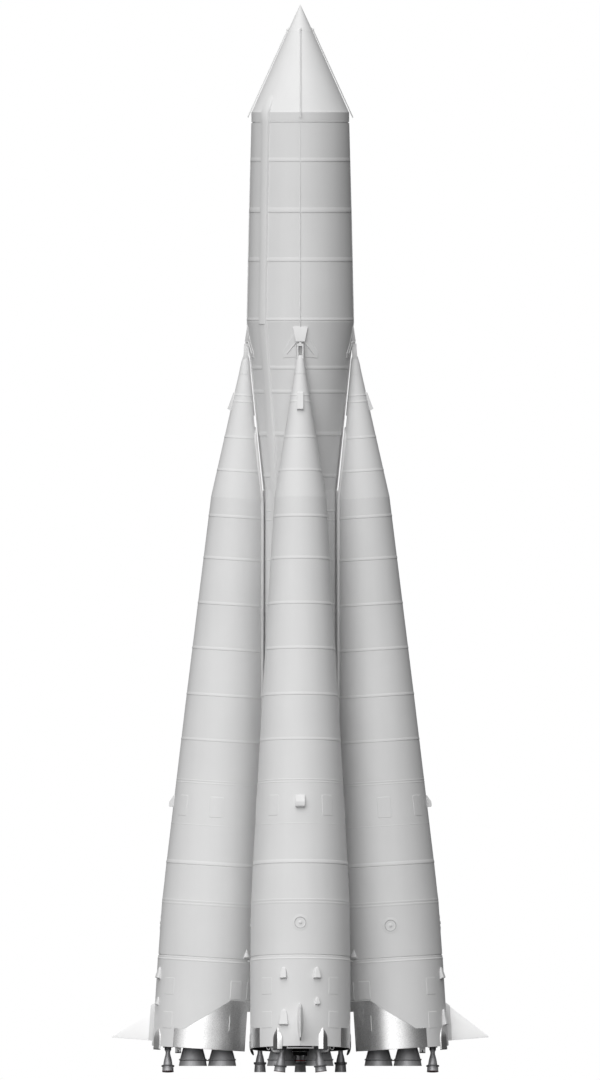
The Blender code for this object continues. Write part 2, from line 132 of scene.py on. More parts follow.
def dressed(material, tree, shader, tone, gloss, relief):
    # Leads a surface's colour, gloss and fine relief from their patterns into the shader.
    # tone: pattern, two stops of place and colour; gloss: pattern, least and most roughness;
    # relief: pattern, strength, depth in metres
    (node, output), stops = tone
    color = ramp(tree, node, output, [(place, linear(code)) for place, code in stops])
    rough = ranged(tree, gloss[0], 0.3, 0.7, gloss[1], gloss[2])
    bump = addNode(tree, "ShaderNodeBump", {"Strength": relief[1], "Distance": relief[2]}, {"Height": relief[0]})
    tree.links.new(color.outputs["Color"], shader.inputs["Base Color"])
    tree.links.new(rough[0].outputs[rough[1]], shader.inputs["Roughness"])
    tree.links.new(bump.outputs["Normal"], shader.inputs["Normal"])
    return material


# satin grey paint sprayed over riveted aluminium sheet: an even tone with faint clouds,
# rain streaks down the skin and a soft sheen
paintLook = {"cloudsPerMetre": 0.55, "streaksPerMetre": 3.2, "streakSquash": 0.05, "streakShare": 0.35,
    "peelMillimetres": 22.0, "shader": {"Metallic": 0.0, "IOR": 1.46, "Specular IOR Level": 0.35, "Coat IOR": 1.9,
    "Coat Roughness": 0.35}}


def satinPaint(name, dark, light, roughness=0.52, coat=0.0):
    look = paintLook
    material, tree, shader, place = newMaterial(name, {**look["shader"], "Coat Weight": coat})
    clouds = noise(tree, place, look["cloudsPerMetre"], 5.0, 0.55)
    streaks = noise(tree, place, look["streaksPerMetre"], 4.0, 0.5, look["streakSquash"])
    blend = mixed(tree, clouds, streaks, look["streakShare"])
    peel = noise(tree, place, 1000.0 / look["peelMillimetres"], 2.0)
    return dressed(material, tree, shader, (blend, ((0.3, dark), (0.7, light))),
        (clouds, roughness - 0.05, roughness + 0.06), (peel, 0.06, 0.002))


# bare rolled heat-resistant steel sheet: bright, with a fine blotchy grain; the real grain is
# finer than a pixel, so it is drawn about 20 mm wide to show
steelLook = {"grainPerMetre": 48.0, "grainSquash": 0.9, "cloudsPerMetre": 1.6, "cloudShare": 0.15}


def rolledSteel(name, dark, light, roughness=0.42):
    look = steelLook
    material, tree, shader, place = newMaterial(name, {"Metallic": 1.0})
    grain = noise(tree, place, look["grainPerMetre"], 5.0, 0.7, look["grainSquash"])
    blend = mixed(tree, grain, noise(tree, place, look["cloudsPerMetre"], 3.0), look["cloudShare"])
    return dressed(material, tree, shader, (blend, ((0.36, dark), (0.64, light))),
        (grain, roughness - 0.015, roughness + 0.02), (grain, 0.05, 0.003))


# spun and brazed nozzle wall: dark grey, darker with height towards the throat, with faint lengthwise lines from the
# cooling channels
nozzleLook = {"channelsPerMetre": 60.0, "channelSquash": 0.03, "tintLow": 0.15, "tintHigh": 0.75,
    "cloudsPerMetre": 7.0, "cloudShare": 0.35, "metallic": 0.55}


def firedSteel(name, low, high, roughness=0.5):
    look = nozzleLook
    material, tree, shader, place = newMaterial(name, {"Metallic": look["metallic"]})
    split = addNode(tree, "ShaderNodeSeparateXYZ", None, {"Vector": (place, "Object")})
    height = ranged(tree, (split, "Z"), look["tintLow"], look["tintHigh"])
    blend = mixed(tree, height, noise(tree, place, look["cloudsPerMetre"], 4.0), look["cloudShare"])
    lines = noise(tree, place, look["channelsPerMetre"], 2.0, 0.5, look["channelSquash"])
    return dressed(material, tree, shader, (blend, ((0.15, low), (0.85, high))),
        (lines, roughness - 0.06, roughness + 0.1), (lines, 0.15, 0.003))


# sooty heat shield board under the tail, its near-black partly painted shade; the same black paints the shade on the
# hoods' lower sides, inside the skirts' rims and on the blocks for the machinery between the nozzles. Matt, blotched,
# swallows the light
def sootAndShadeMatt(name, dark, light):
    material, tree, shader, place = newMaterial(name, {"Metallic": 0.0})
    blotch = noise(tree, place, 4.0, 6.0, 0.65)
    return dressed(material, tree, shader, (blotch, ((0.3, dark), (0.75, light))), (blotch, 0.7, 0.9),
        (blotch, 0.3, 0.004))


# floor: pale to the eye; for the light that it sends back up dim, as in a large studio, but
# brighter right under the object; the reach between the two is in metres from the axis
floorLook = {"radius": 11.0, "drop": 0.001, "eye": ("d2d2d2", "d8d8d8"), "reach": (3.4, 5.6),
    "back": ("a8a8a8", "484848"), "underGlow": 0.05, "cloudsPerMetre": 0.2}


def studioFloor():
    look = floorLook
    material = bpy.data.materials.new("pale matt floor")
    material.use_nodes = True
    tree = material.node_tree
    tree.nodes.clear()
    place = addNode(tree, "ShaderNodeTexCoord")
    cloud = noise(tree, place, look["cloudsPerMetre"], 2.0)
    tone = ramp(tree, *cloud, ((0.3, linear(look["eye"][0])), (0.7, linear(look["eye"][1]))))
    pale = addNode(tree, "ShaderNodeBsdfDiffuse", None, {"Color": (tone, "Color")})
    far = addNode(tree, "ShaderNodeVectorMath", {"operation": "LENGTH"}, {"Vector": (place, "Object")})
    reach = ranged(tree, (far, "Value"), *look["reach"])
    shade = ramp(tree, *reach, ((0.0, linear(look["back"][0])), (1.0, linear(look["back"][1]))))
    matt = addNode(tree, "ShaderNodeBsdfDiffuse", None, {"Color": (shade, "Color")})
    lamp = addNode(tree, "ShaderNodeEmission", {"Strength": look["underGlow"]}, {"Color": (shade, "Color")})
    near = addNode(tree, "ShaderNodeAddShader", None, {0: (lamp, "Emission"), 1: (matt, "BSDF")})
    dim = addNode(tree, "ShaderNodeMixShader", None, {0: reach, 1: (near, "Shader"), 2: (matt, "BSDF")})
    rays = addNode(tree, "ShaderNodeLightPath")
    links = {0: (rays, "Is Camera Ray"), 1: (dim, "Shader"), 2: (pale, "BSDF")}
    mix = addNode(tree, "ShaderNodeMixShader", None, links)
    addNode(tree, "ShaderNodeOutputMaterial", None, {"Surface": (mix, "Shader")})
    return material


greyPaint = satinPaint("satin grey paint on aluminium sheet", "dadada", "e1e1e1")
lightPaint = satinPaint("light grey paint on fairing sheet", "dddddd", "e4e4e4")
whitePaint = satinPaint("white enamel on fin sheet", "f8f8f8", "fdfdfd", 0.45, 1.0)
heatSteel = rolledSteel("rolled heat-resistant steel sheet", "d2d2d2", "fafafa")
# darker copy of the skirt steel for the wedges' outer faces: painted shade
shadedWallSteel = rolledSteel("rolled steel sheet darkened for painted shade", "b6b6b6", "dadada")
nozzleSteel = firedSteel("fired nozzle steel", "b0b0b2", "a0a0a2")
swivelSteel = firedSteel("machined chamber steel", "a8a8aa", "969698", 0.45)
# near-black for the boards under the tails, partly soot and partly painted shade; painted shade on the hoods, rim
# linings and machinery blocks
sootAndShadeBoard = sootAndShadeMatt("sooted heat board and painted shade", "101010", "1e1e1e")
# blackened steel for the fittings, also used as painted shade: the bands under the nozzles' rings, the wedges' feet,
# the fin's trailing edge and the casting's foot plate and groove filler
darkFittingAndShade = firedSteel("blackened steel fitting and painted shade", "4c4c4c", "3a3a3a", 0.55)
paleFitting = satinPaint("pale enamelled casting", "f8f8f8", "fdfdfd", 0.4)
dullCasting = satinPaint("dull grey cast lip", "aaaaaa", "b6b6b6", 0.5)
portSeal = satinPaint("grey rubber seal", "a0a0a0", "acacac", 0.6)
throatSteel = firedSteel("heat-darkened ring steel", "6a6a6c", "5c5c5e", 0.5)
redCover = satinPaint("dark red transit cover", "7c2a30", "8e3238", 0.5)
fadedCover = satinPaint("faded rubber dust cover", "4a3839", "5a4446", 0.6)
print("materials made:", len(bpy.data.materials))


def gridSolid(points, ring=False):
    # Rows of points, each row a closed loop. Neighbouring rows are joined by quads, and the
    # first and last row are closed by a fan to their middle, or joined to each other as a ring
    points = np.asarray(points, dtype=float)
    rows, count = points.shape[:2]
    vertices = points.reshape(-1, 3)
    here = np.arange(rows if ring else rows - 1)[:, None] * count
    after = (here + count) % (rows * count)
    column = np.arange(count)[None, :]
    beside = (column + 1) % count
    quads = np.stack([here + column, here + beside, after + beside, after + column], axis=-1).reshape(-1, 4)
    if ring:
        return vertices, quads, np.zeros((0, 3), dtype=int)
    base, end = len(vertices), (rows - 1) * count
    vertices = np.vstack([vertices, points[0].mean(axis=0), points[-1].mean(axis=0)])
    first = np.stack([np.full(count, base), beside[0], column[0]], axis=-1)
    last = np.stack([np.full(count, base + 1), column[0] + end, beside[0] + end], axis=-1)
    return vertices, quads, np.vstack([first, last])


def moved(part, matrix):
    vertices, quads, triangles = part
    turn = np.array(matrix)
    return vertices @ turn[:3, :3].T + turn[:3, 3], quads, triangles


def newPiece(name, parts, material, body="rocket", replaced=(), matrix=None, sharp=32.0):
    # Closed parts put into one mesh at the origin, normals out, smooth but for hard edges
    if matrix is not None:
        parts = [moved(part, matrix) for part in parts]
    starts = np.cumsum([0] + [len(part[0]) for part in parts])
    faces = [face for kind in (1, 2) for part, start in zip(parts, starts) for face in (part[kind] + start).tolist()]
    mesh = bpy.data.meshes.new(name)
    mesh.from_pydata(np.vstack([part[0] for part in parts]).tolist(), [], faces)
    work = bmesh.new()
    work.from_mesh(mesh)
    bmesh.ops.recalc_face_normals(work, faces=work.faces)
    work.to_mesh(mesh)
    work.free()
    mesh.polygons.foreach_set("use_smooth", np.ones(len(faces), dtype=bool))
    mesh.set_sharp_from_angle(angle=math.radians(sharp))
    mesh.materials.append(material)
    piece = bpy.data.objects.new(name, mesh)
    bpy.context.scene.collection.objects.link(piece)
    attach(piece, body)
    if replaced:
        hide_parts(*replaced)


def around(index):
    return Matrix.Rotation(index * math.pi / 2.0, 4, "Z")


def fourfold(parts):
    return [moved(part, around(index)) for index in range(4) for part in parts]


def polar(radius, turn, height):
    # Points at a radius and a turn round the upright axis, counted from the front
    return np.stack(np.broadcast_arrays(radius * np.sin(turn), -radius * np.cos(turn), height), axis=-1)


def lathe(profile, count=160):
    # Surface of revolution: each (radius, height) pair carried round the upright axis
    profile = np.asarray(profile, dtype=float)
    return gridSolid(polar(profile[:, :1], np.arange(count) * 2.0 * math.pi / count, profile[:, 1:]))


def block(outline, low, high, bevel=0.006):
    # Outline in the ground plane carried upwards, its rims drawn in by the bevel
    outline = np.asarray(outline, dtype=float)
    middle = outline.mean(axis=0)
    reach = np.linalg.norm(outline - middle, axis=1, keepdims=True)
    inset = middle + (outline - middle) * (1.0 - bevel / reach)
    rows = []
    for shape, height in ((inset, low), (outline, low + bevel), (outline, high - bevel), (inset, high)):
        rows.append(np.column_stack([shape, np.full(len(shape), height)]))
    return gridSolid(rows)


def divided(outline, step=0.035):
    # Extra points along the long edges of a closed outline, so that it can follow a round skin
    outline = np.asarray(outline, dtype=float)
    after = np.roll(outline, -1, axis=0)
    counts = np.maximum(1, np.ceil(np.linalg.norm(after - outline, axis=1) / step)).astype(int)
    runs = [np.linspace(start, end, count, endpoint=False) for start, end, count in zip(outline, after, counts)]
    return np.vstack(runs)


def roundedRectangle(halfWidth, halfHeight, radius, steps=4):
    # Four quarter circles joined by straight edges
    turn = np.linspace(0.0, math.pi / 2.0, steps + 1)
    arc = np.stack([np.cos(turn), np.sin(turn)], axis=-1) * radius
    corners = []
    for index, (sx, sy) in enumerate(((1, 1), (-1, 1), (-1, -1), (1, -1))):
        quarter = index * math.pi / 2.0
        spin = np.array([[math.cos(quarter), math.sin(quarter)], [-math.sin(quarter), math.cos(quarter)]])
        corners.append(arc @ spin + [sx * (halfWidth - radius), sy * (halfHeight - radius)])
    return np.vstack(corners)


def softBox(low, high, radius=0.01, bevel=0.004):
    low, high = np.asarray(low, dtype=float), np.asarray(high, dtype=float)
    half = (high - low) / 2.0
    middle = (high + low) / 2.0
    outline = roundedRectangle(half[0], half[1], min(radius, half[0] * 0.9, half[1] * 0.9)) + middle[:2]
    return block(outline, low[2], high[2], bevel)


def tube(path, radius, count=12):
    # Circle carried along a path, kept square to it; the radius may change on the way
    path = np.asarray(path, dtype=float)
    radius = np.broadcast_to(np.asarray(radius, dtype=float), (len(path),))
    along = np.gradient(path, axis=0)
    along /= np.linalg.norm(along, axis=1, keepdims=True)
    spread = path.max(axis=0) - path.min(axis=0)
    steady = np.eye(3)[int(np.argmin(spread))]
    side = np.cross(along, steady)
    side /= np.linalg.norm(side, axis=1, keepdims=True)
    up = np.cross(side, along)
    angle = np.arange(count) * 2.0 * math.pi / count
    offset = side[:, None, :] * np.cos(angle)[None, :, None] + up[:, None, :] * np.sin(angle)[None, :, None]
    return gridSolid(path[:, None, :] + offset * radius[:, None, None])


def slab(outline, depth, axis=0):
    # Flat outline in two axes carried by the depth to both sides along the third one
    outline = np.asarray(outline, dtype=float)
    rows = []
    for place, shrink in ((-depth, 0.985), (-depth * 0.96, 1.0), (depth * 0.96, 1.0), (depth, 0.985)):
        middle = outline.mean(axis=0)
        shape = middle + (outline - middle) * shrink
        rows.append(np.insert(shape, axis, place, axis=1))
    return gridSolid(rows)


# booster: distance from the tip and radius of the bare skin; hoops: upper and lower end and
# height off the skin. core: the same with heights
boosterLook = {"tip": (1.4636, 19.905), "lean": math.radians(3.599),
    "skin": ((0.312, 0.085), (0.43, 0.118), (0.843, 0.1638), (1.617, 0.2894), (1.945, 0.34197), (1.953, 0.34325),
    (2.254, 0.39149), (2.262, 0.39277), (4.224, 0.7072), (9.655, 1.0349), (14.293, 1.297), (15.332, 1.3489),
    (16.81, 1.3625), (19.297, 1.368)), "hoops": ((1.384, 1.436, 0.007), (1.556, 1.614, 0.007), (2.52, 2.6, 0.007),
    (3.432, 3.512, 0.007), (4.692, 4.777, 0.008), (5.847, 5.932, 0.008), (7.084, 7.169, 0.008),
    (8.318, 8.403, 0.008), (9.584, 9.669, 0.008), (10.822, 10.902, 0.007), (11.965, 12.0, 0.004),
    (12.035, 12.068, 0.004), (13.18, 13.205, 0.003), (14.18, 14.292, 0.011), (15.225, 15.285, 0.003),
    (15.308, 15.37, 0.003))}
coreLook = {"skin": ((29.17, 0.0), (28.451, 0.334), (26.228, 1.3255), (25.955, 1.3325), (20.496, 1.4472),
    (15.909, 0.975), (0.726, 0.975)), "hoops": ((24.984, 24.868, 0.01), (23.624, 23.474, 0.012),
    (22.262, 22.137, 0.01), (20.615, 20.528, 0.009), (19.304, 19.2, 0.01), (18.65, 18.545, 0.01),
    (17.504, 17.376, 0.012), (16.356, 16.251, 0.01), (15.372, 15.318, 0.006), (15.118, 15.064, 0.006),
    (14.028, 13.974, 0.006), (12.822, 12.768, 0.006), (12.6, 12.546, 0.006), (11.592, 11.538, 0.006),
    (9.8, 9.746, 0.006), (8.0, 7.946, 0.006), (6.2, 6.146, 0.006), (4.6, 4.546, 0.006))}


def boosterRadius(distance):
    return np.interp(distance, *np.array(boosterLook["skin"]).T)


def coreRadius(height):
    return np.interp(height, *np.array(coreLook["skin"])[::-1].T)


def boosterPoint(angle, distance, lift):
    # Booster skin in the booster's own frame, the angle counted from its outer side
    return polar(boosterRadius(distance) + lift, angle, -distance)


def corePoint(angle, height, lift):
    return polar(coreRadius(height) + lift, angle, height)


def boosterPlace(index):
    radial, height = boosterLook["tip"]
    lean = Matrix.Rotation(-boosterLook["lean"], 4, "X")
    return around(index) @ Matrix.Translation((0.0, -radial, height)) @ lean


def boosterPieces(name, parts, material, solid=None, moving=None, upright=False, sharp=32.0):
    # The same piece on each booster, in its leaning or its upright frame. solid: the one that it
    # stands for; moving: the one that it rides on
    for index, side in enumerate(sides):
        newPiece("booster" + side.capitalize() + name, parts, material,
            body="booster_%s_%s" % (side, moving) if moving else "rocket",
            replaced=("booster_%s_%s" % (side, solid),) if solid else (),
            matrix=around(index) if upright else boosterPlace(index), sharp=sharp)


def skinPad(point, angle, place, outline, lift, edge=0.01, sink=0.006):
    # Plate laid on a skin: its outline is drawn in towards the middle in steps, first up the
    # rim and then over the top, and each point keeps its height off the curved skin
    middle = np.asarray(outline, dtype=float).mean(axis=0)
    outline = divided(outline)
    reach = np.linalg.norm(outline - middle, axis=1)
    rim = np.maximum(0.5, 1.0 - edge / reach)
    rows = []
    for scale, height in ((1.0, -sink), (1.0, 0.0), (rim, lift), (rim * 0.7, lift), (rim * 0.35, lift)):
        spot = middle + (outline - middle) * np.reshape(scale, (-1, 1))
        run = place + spot[:, 1]
        radius = boosterRadius(run) if point is boosterPoint else coreRadius(run)
        rows.append(point(angle + spot[:, 0] / radius, run, height))
    return gridSolid(rows)


def padPair(angle, place, outline, lift):
    # The same plate on both sides of a booster
    return [skinPad(boosterPoint, math.radians(sign * angle), place, outline, lift, 0.012) for sign in signs]


def bulge(share):
    # Quarter circle from 0 at the start to 1 at the end
    return math.sqrt(max(0.0, 1.0 - (1.0 - min(share, 1.0)) ** 2))


def fairing(angle, top, foot, halfWidth, proud, taper, crown, square):
    # Scoop on the booster: in plan a half ellipse over the crown and then slightly spreading
    # sides, in profile a straight slope from the skin, in section a half superellipse; no crown
    # leaves a plain wedge. All of it sinks 12 mm into the skin at its edges
    way = np.concatenate([[0.0, 0.01, 0.03, 0.06, 0.1], np.linspace(0.16, 1.0, 12)])
    turn = np.linspace(-math.pi / 2.0, math.pi / 2.0, 21)
    sunk = 0.012 * (np.abs(turn) > 1.5)
    brow = 0.32 if crown > 0.0 else 0.0
    rows = []
    for part in way:
        arch = bulge(part / crown) if crown > 0.0 else 1.0
        width = halfWidth * max(0.03, arch * (taper + (1.0 - taper) * part))
        distance = np.full(len(turn), top + (foot - top) * part)
        side = np.sign(np.sin(turn)) * np.abs(np.sin(turn)) ** square * width
        height = proud * max(0.02, brow * bulge(part / 0.18) + (1.0 - brow) * part)
        lift = np.cos(turn) ** square * height - sunk
        rows.append(boosterPoint(angle + side / boosterRadius(distance), distance, lift))
    # underside, sloping back to the skin
    last = np.full(len(turn), foot + 0.045)
    rows.append(boosterPoint(angle + side * 0.94 / boosterRadius(last), last, 0.002 - sunk))
    return gridSolid(rows)


def hoopedProfile(look, radiusAt, ends):
    # Skin profile from end to end with a rounded hoop at each weld: it swells slowly from its
    # upper end and falls back steeply at its lower end
    low, high = min(ends), max(ends)
    spots, taken = [(end, 0.0) for end in ends], [sorted(hoop[:2]) for hoop in look["hoops"]]
    for (start, stop, lift), (near, far) in zip(look["hoops"], taken):
        if low < near and far < high:
            for share, rise in ((0.0, 0.0), (0.22, 0.5), (0.5, 0.88), (0.72, 1.0), (0.86, 0.9), (1.0, 0.0)):
                spots.append((start + (stop - start) * share, lift * rise))
    for place, _ in look["skin"]:
        if low < place < high and not any(near <= place <= far for near, far in taken):
            spots.append((place, 0.0))
    return [(float(radiusAt(place)) + lift, place) for place, lift in sorted(spots)]


def boosterShell(low, high, count=168):
    return lathe([(r, -d) for r, d in hoopedProfile(boosterLook, boosterRadius, (low, high))], count)


def coreShell(low, high, ends=()):
    return lathe(hoopedProfile(coreLook, coreRadius, (low, high)) + list(ends), 176)


skinSharp = 3.5  # degrees: keeps the long plain panels free of the hoops' shading

# nose: rods beside the cone as radius and height of their ends, and the small cups and arms
# that hold their tops
noseLook = {"rodRadius": 0.016, "rodTop": (0.344, 28.481), "rodFoot": (1.437, 26.076), "cupRadial": 0.35,
    "seam": 28.451, "cup": ((0.0, 28.52), (0.02, 28.5), (0.026, 28.478), (0.026, 28.462), (0.014, 28.452)),
    "arm": ((-0.365, 28.47), (-0.365, 28.496), (-0.3, 28.54), (-0.29, 28.47)), "armHalf": 0.012}


def makeNose():
    look = noseLook
    seam = look["seam"]
    parts = [lathe([(0.0008, 29.168), (0.006, 29.158), (0.33, seam + 0.008), (0.3335, seam + 0.002), (0.3335, seam),
        (0.31, seam)], 128)]
    way = np.linspace(0.0, 1.0, 24)[:, None]
    (topRadius, top), (footRadius, foot) = look["rodTop"], look["rodFoot"]
    line = np.array([0.0, -topRadius, top]) * (1.0 - way) + np.array([0.0, -footRadius, foot]) * way
    cup = moved(lathe(look["cup"], 20), Matrix.Translation((0.0, -look["cupRadial"], 0.0)))
    parts += fourfold([cup, slab(look["arm"], look["armHalf"], 0), tube(line, look["rodRadius"], 12)])
    newPiece("noseCapShell", parts, lightPaint, replaced=("nose_cap",), sharp=24.0)
    cone = [(0.31, seam - 0.002), (0.331, seam - 0.002), (0.3345, seam - 0.01), (1.3235, 26.2325),
        (1.3245, 26.2283), (1.29, 26.2283)]
    newPiece("noseConeShell", [lathe(cone, 176)], lightPaint, replaced=("nose_fairing",), sharp=skinSharp)
    band = [(1.3, 26.2277), (1.3335, 26.2277), (1.335, 26.224), (1.335, 26.006), (1.33, 26.001), (1.33, 25.99),
        (1.3365, 25.984), (1.3365, 25.96), (1.318, 25.9553)]
    newPiece("fairingBandShell", [lathe(band, 176)], greyPaint, replaced=("fairing_band",), sharp=skinSharp)


# thin rods and pads on the core's skin, the duct's turn from the front, and the duct's
# stations: height, proud of the skin, share of its width
coreParts = {"rodHalf": 0.016, "rodLift": 0.02, "taperRodLift": 0.032, "lowRodHalf": 0.03, "lowRodLift": 0.046,
    "ductTurn": -45.0, "duct": ((26.668, 0.01, 0.6), (26.6, 0.03, 0.9), (26.5, 0.046, 1.1), (26.41, 0.055, 1.2),
    (26.235, 0.06, 1.25), (25.95, 0.062, 1.25), (23.0, 0.062, 1.2), (20.44, 0.062, 1.2), (20.43, 0.044, 1.32),
    (18.0, 0.044, 1.3), (15.909, 0.048, 1.15), (9.0, 0.05, 1.05), (3.56, 0.05, 1.0), (3.48, 0.015, 0.9)),
    "ductSection": ((-0.1, -0.01), (-0.1, 0.55), (-0.094, 0.88), (-0.08, 1.0), (0.0, 1.0), (0.07, 1.0),
    (0.088, 0.9), (0.104, 0.5), (0.114, -0.01))}


def skinRod(low, high, half, lift):
    # Thin rod laid up the core's front: one rounded section carried along the skin, sinking
    # into it towards the upper tank's top
    turn = np.linspace(-math.pi / 2.0, math.pi / 2.0, 9)
    across = np.concatenate([[-half], np.sin(turn) * half, [half]])
    rise = np.concatenate([[-0.004], np.cos(turn) * lift, [-0.004]])
    rows = []
    for height in np.linspace(low, high, 40):
        sunk = np.interp(height, (23.2, 25.9), (1.0, 0.3))
        rows.append(corePoint(across / coreRadius(height), height, np.maximum(rise * sunk, -0.004)))
    return gridSolid(rows)


def makeCoreTanks():
    look = coreParts
    groove = [(1.333, 25.93), (1.31, 25.9303), (1.31, 25.9548)]
    for name, node, shell, rod in (("oxidizerTankShell", "oxidizer_tank", coreShell(20.4965, 25.928, groove),
            skinRod(20.36, 25.93, look["rodHalf"], look["rodLift"])),
            ("taperShell", "tank_taper", coreShell(15.9092, 20.4955),
            skinRod(15.91, 19.93, look["rodHalf"], look["taperRodLift"])),
            ("coreFuelTankShell", "core_fuel_tank", coreShell(3.4005, 15.9085),
            skinRod(3.45, 15.9, look["lowRodHalf"], look["lowRodLift"]))):
        newPiece(name, [shell, *fourfold([rod])], greyPaint, replaced=(node,), sharp=skinSharp)


def makeDuct():
    # Flat duct with rolled edges: one section carried down the core's slope, and a little
    # higher over the fairing's band
    section = np.array(coreParts["ductSection"])
    rows = []
    for height, proud, wide in coreParts["duct"]:
        lift = np.where(section[:, 1] < 0.0, -0.004, section[:, 1] * proud) + 0.014 * (25.955 < height < 26.24)
        angle = math.radians(coreParts["ductTurn"]) + section[:, 0] * wide / coreRadius(height)
        rows.append(corePoint(angle, height, lift))
    newPiece("coreCableDuctShell", [gridSolid(rows)], greyPaint, replaced=("core_cable_duct",))


bracketLook = {"top": 20.36, "foot": 19.957, "halfTop": 0.205, "halfFoot": 0.124, "faceTop": 1.46,
    "faceFoot": 1.515, "draw": 0.006, "ribRadius": 0.014, "padLift": 0.012,
    "pad": ((0.15, -0.12), (0.188, -0.19), (0.505, -0.72), (0.488, -0.855), (0.11, -0.825), (0.09, -0.5),
    (0.12, -0.4))}


def makeBrackets():
    look = bracketLook
    # trapezoid block: columns across, two rows of depth, its rims slightly drawn in
    rows = []
    for height, share, draw in ((look["top"], 0.0, look["draw"]), (look["top"] - 0.008, 0.0, 0.0),
            (look["foot"] + 0.008, 1.0, 0.0), (look["foot"], 1.0, look["draw"])):
        half = look["halfTop"] + (look["halfFoot"] - look["halfTop"]) * share - draw
        face = look["faceTop"] + (look["faceFoot"] - look["faceTop"]) * share - draw
        columns = np.linspace(-1.0, 1.0, 9) * half
        back = coreRadius(height) - 0.01
        behind = np.stack([columns, -np.sqrt(back ** 2 - columns ** 2), np.full(9, height)], axis=-1)
        ahead = np.stack([columns[::-1] * 0.985, np.full(9, -face), np.full(9, height)], axis=-1)
        rows.append(np.vstack([behind, ahead]))
    parts = [gridSolid(rows)]
    way = np.linspace(0.0, 1.0, 12)
    height = look["foot"] - 0.02 - 0.31 * way
    for sign in signs:
        # pad on the skin beside the block and the rib that braces it
        outline = np.array(look["pad"]) * [sign, 1.0]
        parts.append(skinPad(corePoint, 0.0, look["top"], outline, look["padLift"], 0.012))
        across = sign * (0.115 + 0.25 * way) / coreRadius(height)
        parts.append(tube(corePoint(across, height, 0.03 - 0.016 * way), look["ribRadius"], 10))
    for index, side in enumerate(sides):
        newPiece("coreBracket" + side.capitalize(), parts, greyPaint, replaced=("core_bracket_" + side,),
            matrix=around(index))


# section of the hoods over the core's small engines: radius and height
hoodLook = {"half": 0.19, "upper": ((0.962, 1.48), (1.18, 1.3), (1.3, 1.19), (1.36, 1.11), (1.383, 1.02),
    (1.387, 0.85), (0.962, 0.85)), "lower": ((1.308, 0.8498), (1.387, 0.8498), (1.387, 0.7), (1.38, 0.64),
    (1.366, 0.585), (1.342, 0.53), (1.312, 0.49), (1.286, 0.468), (1.264, 0.478), (1.266, 0.52), (1.282, 0.575),
    (1.298, 0.64), (1.308, 0.7))}


def makeCoreTail():
    skirt = [(0.96, 3.4), (0.975, 3.3995), (0.975, 3.02), (0.983, 3.0), (0.983, 2.96), (0.975, 2.94), (0.975, 1.9),
        (0.982, 1.885), (0.982, 1.845), (0.975, 1.83), (0.975, 0.76), (0.981, 0.752), (0.981, 0.73), (0.976, 0.726),
        (0.958, 0.726), (0.955, 0.735), (0.955, 1.3), (0.955, 1.9)]
    hood, lip = (slab([(-r, z) for r, z in hoodLook[half]], hoodLook["half"], 0) for half in ("upper", "lower"))
    newPiece("coreTailShell", [lathe(skirt, 144), *fourfold([hood])], greyPaint, replaced=("core_tail_skirt",))
    # the hoods' lower parts in near-black board: painted shade on their sides, which sit in the shade behind the
    # boosters
    newPiece("coreHoodLips", fourfold([lip]), sootAndShadeBoard)
    newPiece("coreHingeCheeks", fourfold(hingeCheeks(0.0, engineLook["corePivot"], 0.86)), darkFittingAndShade)


# places of the large engines across and outwards from their own middle, and of the hinges of
# the small ones
engineLook = {"boosterRadial": 2.534, "boosterPlaces": ((-0.525, -0.399), (0.525, -0.399), (-0.525, 0.399),
    (0.525, 0.399)), "corePlaces": ((-0.42, -0.42), (0.42, -0.42), (-0.42, 0.42), (0.42, 0.42)),
    "pivotHeight": 0.74, "pivotSide": 0.479, "boosterPivot": 3.615, "corePivot": 1.1, "cant": math.radians(7.0),
    "cheekHalf": 0.06, "cheekOff": 0.1133, "cheekDepth": 0.0148}


def bellShape():
    # Main nozzle: conical wall with a flange ring and a turned lip, then the inside up to the throat
    outside = [(0.215, 1.02), (0.246, 0.8), (0.272, 0.66), (0.29, 0.6), (0.312, 0.52), (0.333, 0.44), (0.35, 0.376),
        (0.374, 0.373), (0.379, 0.367), (0.379, 0.352), (0.374, 0.346), (0.356, 0.344), (0.368, 0.276),
        (0.378, 0.222), (0.3837, 0.19), (0.3837, 0.183), (0.38, 0.181)]
    inside = [(0.374, 0.19), (0.366, 0.23), (0.335, 0.34), (0.302, 0.46), (0.262, 0.6), (0.21, 0.74), (0.145, 0.86),
        (0.085, 0.935), (0.085, 0.95)]
    return lathe(outside + inside, 72)


def hingeCheeks(side, radial, top):
    # Two rounded plates, one on each side of a small engine's drum
    look = engineLook
    half, pivot = look["cheekHalf"], look["pivotHeight"]
    turn = np.linspace(math.pi, 2.0 * math.pi, 13)
    outline = [(side - half, top), *zip(side + half * np.cos(turn), pivot + half * np.sin(turn)), (side + half, top)]
    cheek = slab(outline, look["cheekDepth"], 1)
    return [moved(cheek, Matrix.Translation((0.0, sign * look["cheekOff"] - radial, 0.0))) for sign in signs]


def atEngines(shape, places, radial):
    # The shape at each large engine
    return [moved(shape, Matrix.Translation((x, y - radial, 0.0))) for x, y in places]


def bellRingShadows(places, radial):
    # Dark band under the stiffening ring of each large nozzle: painted shadow of the ring
    return atEngines(lathe([(0.352, 0.3455), (0.38, 0.3455), (0.3805, 0.335), (0.3565, 0.332)], 96), places, radial)


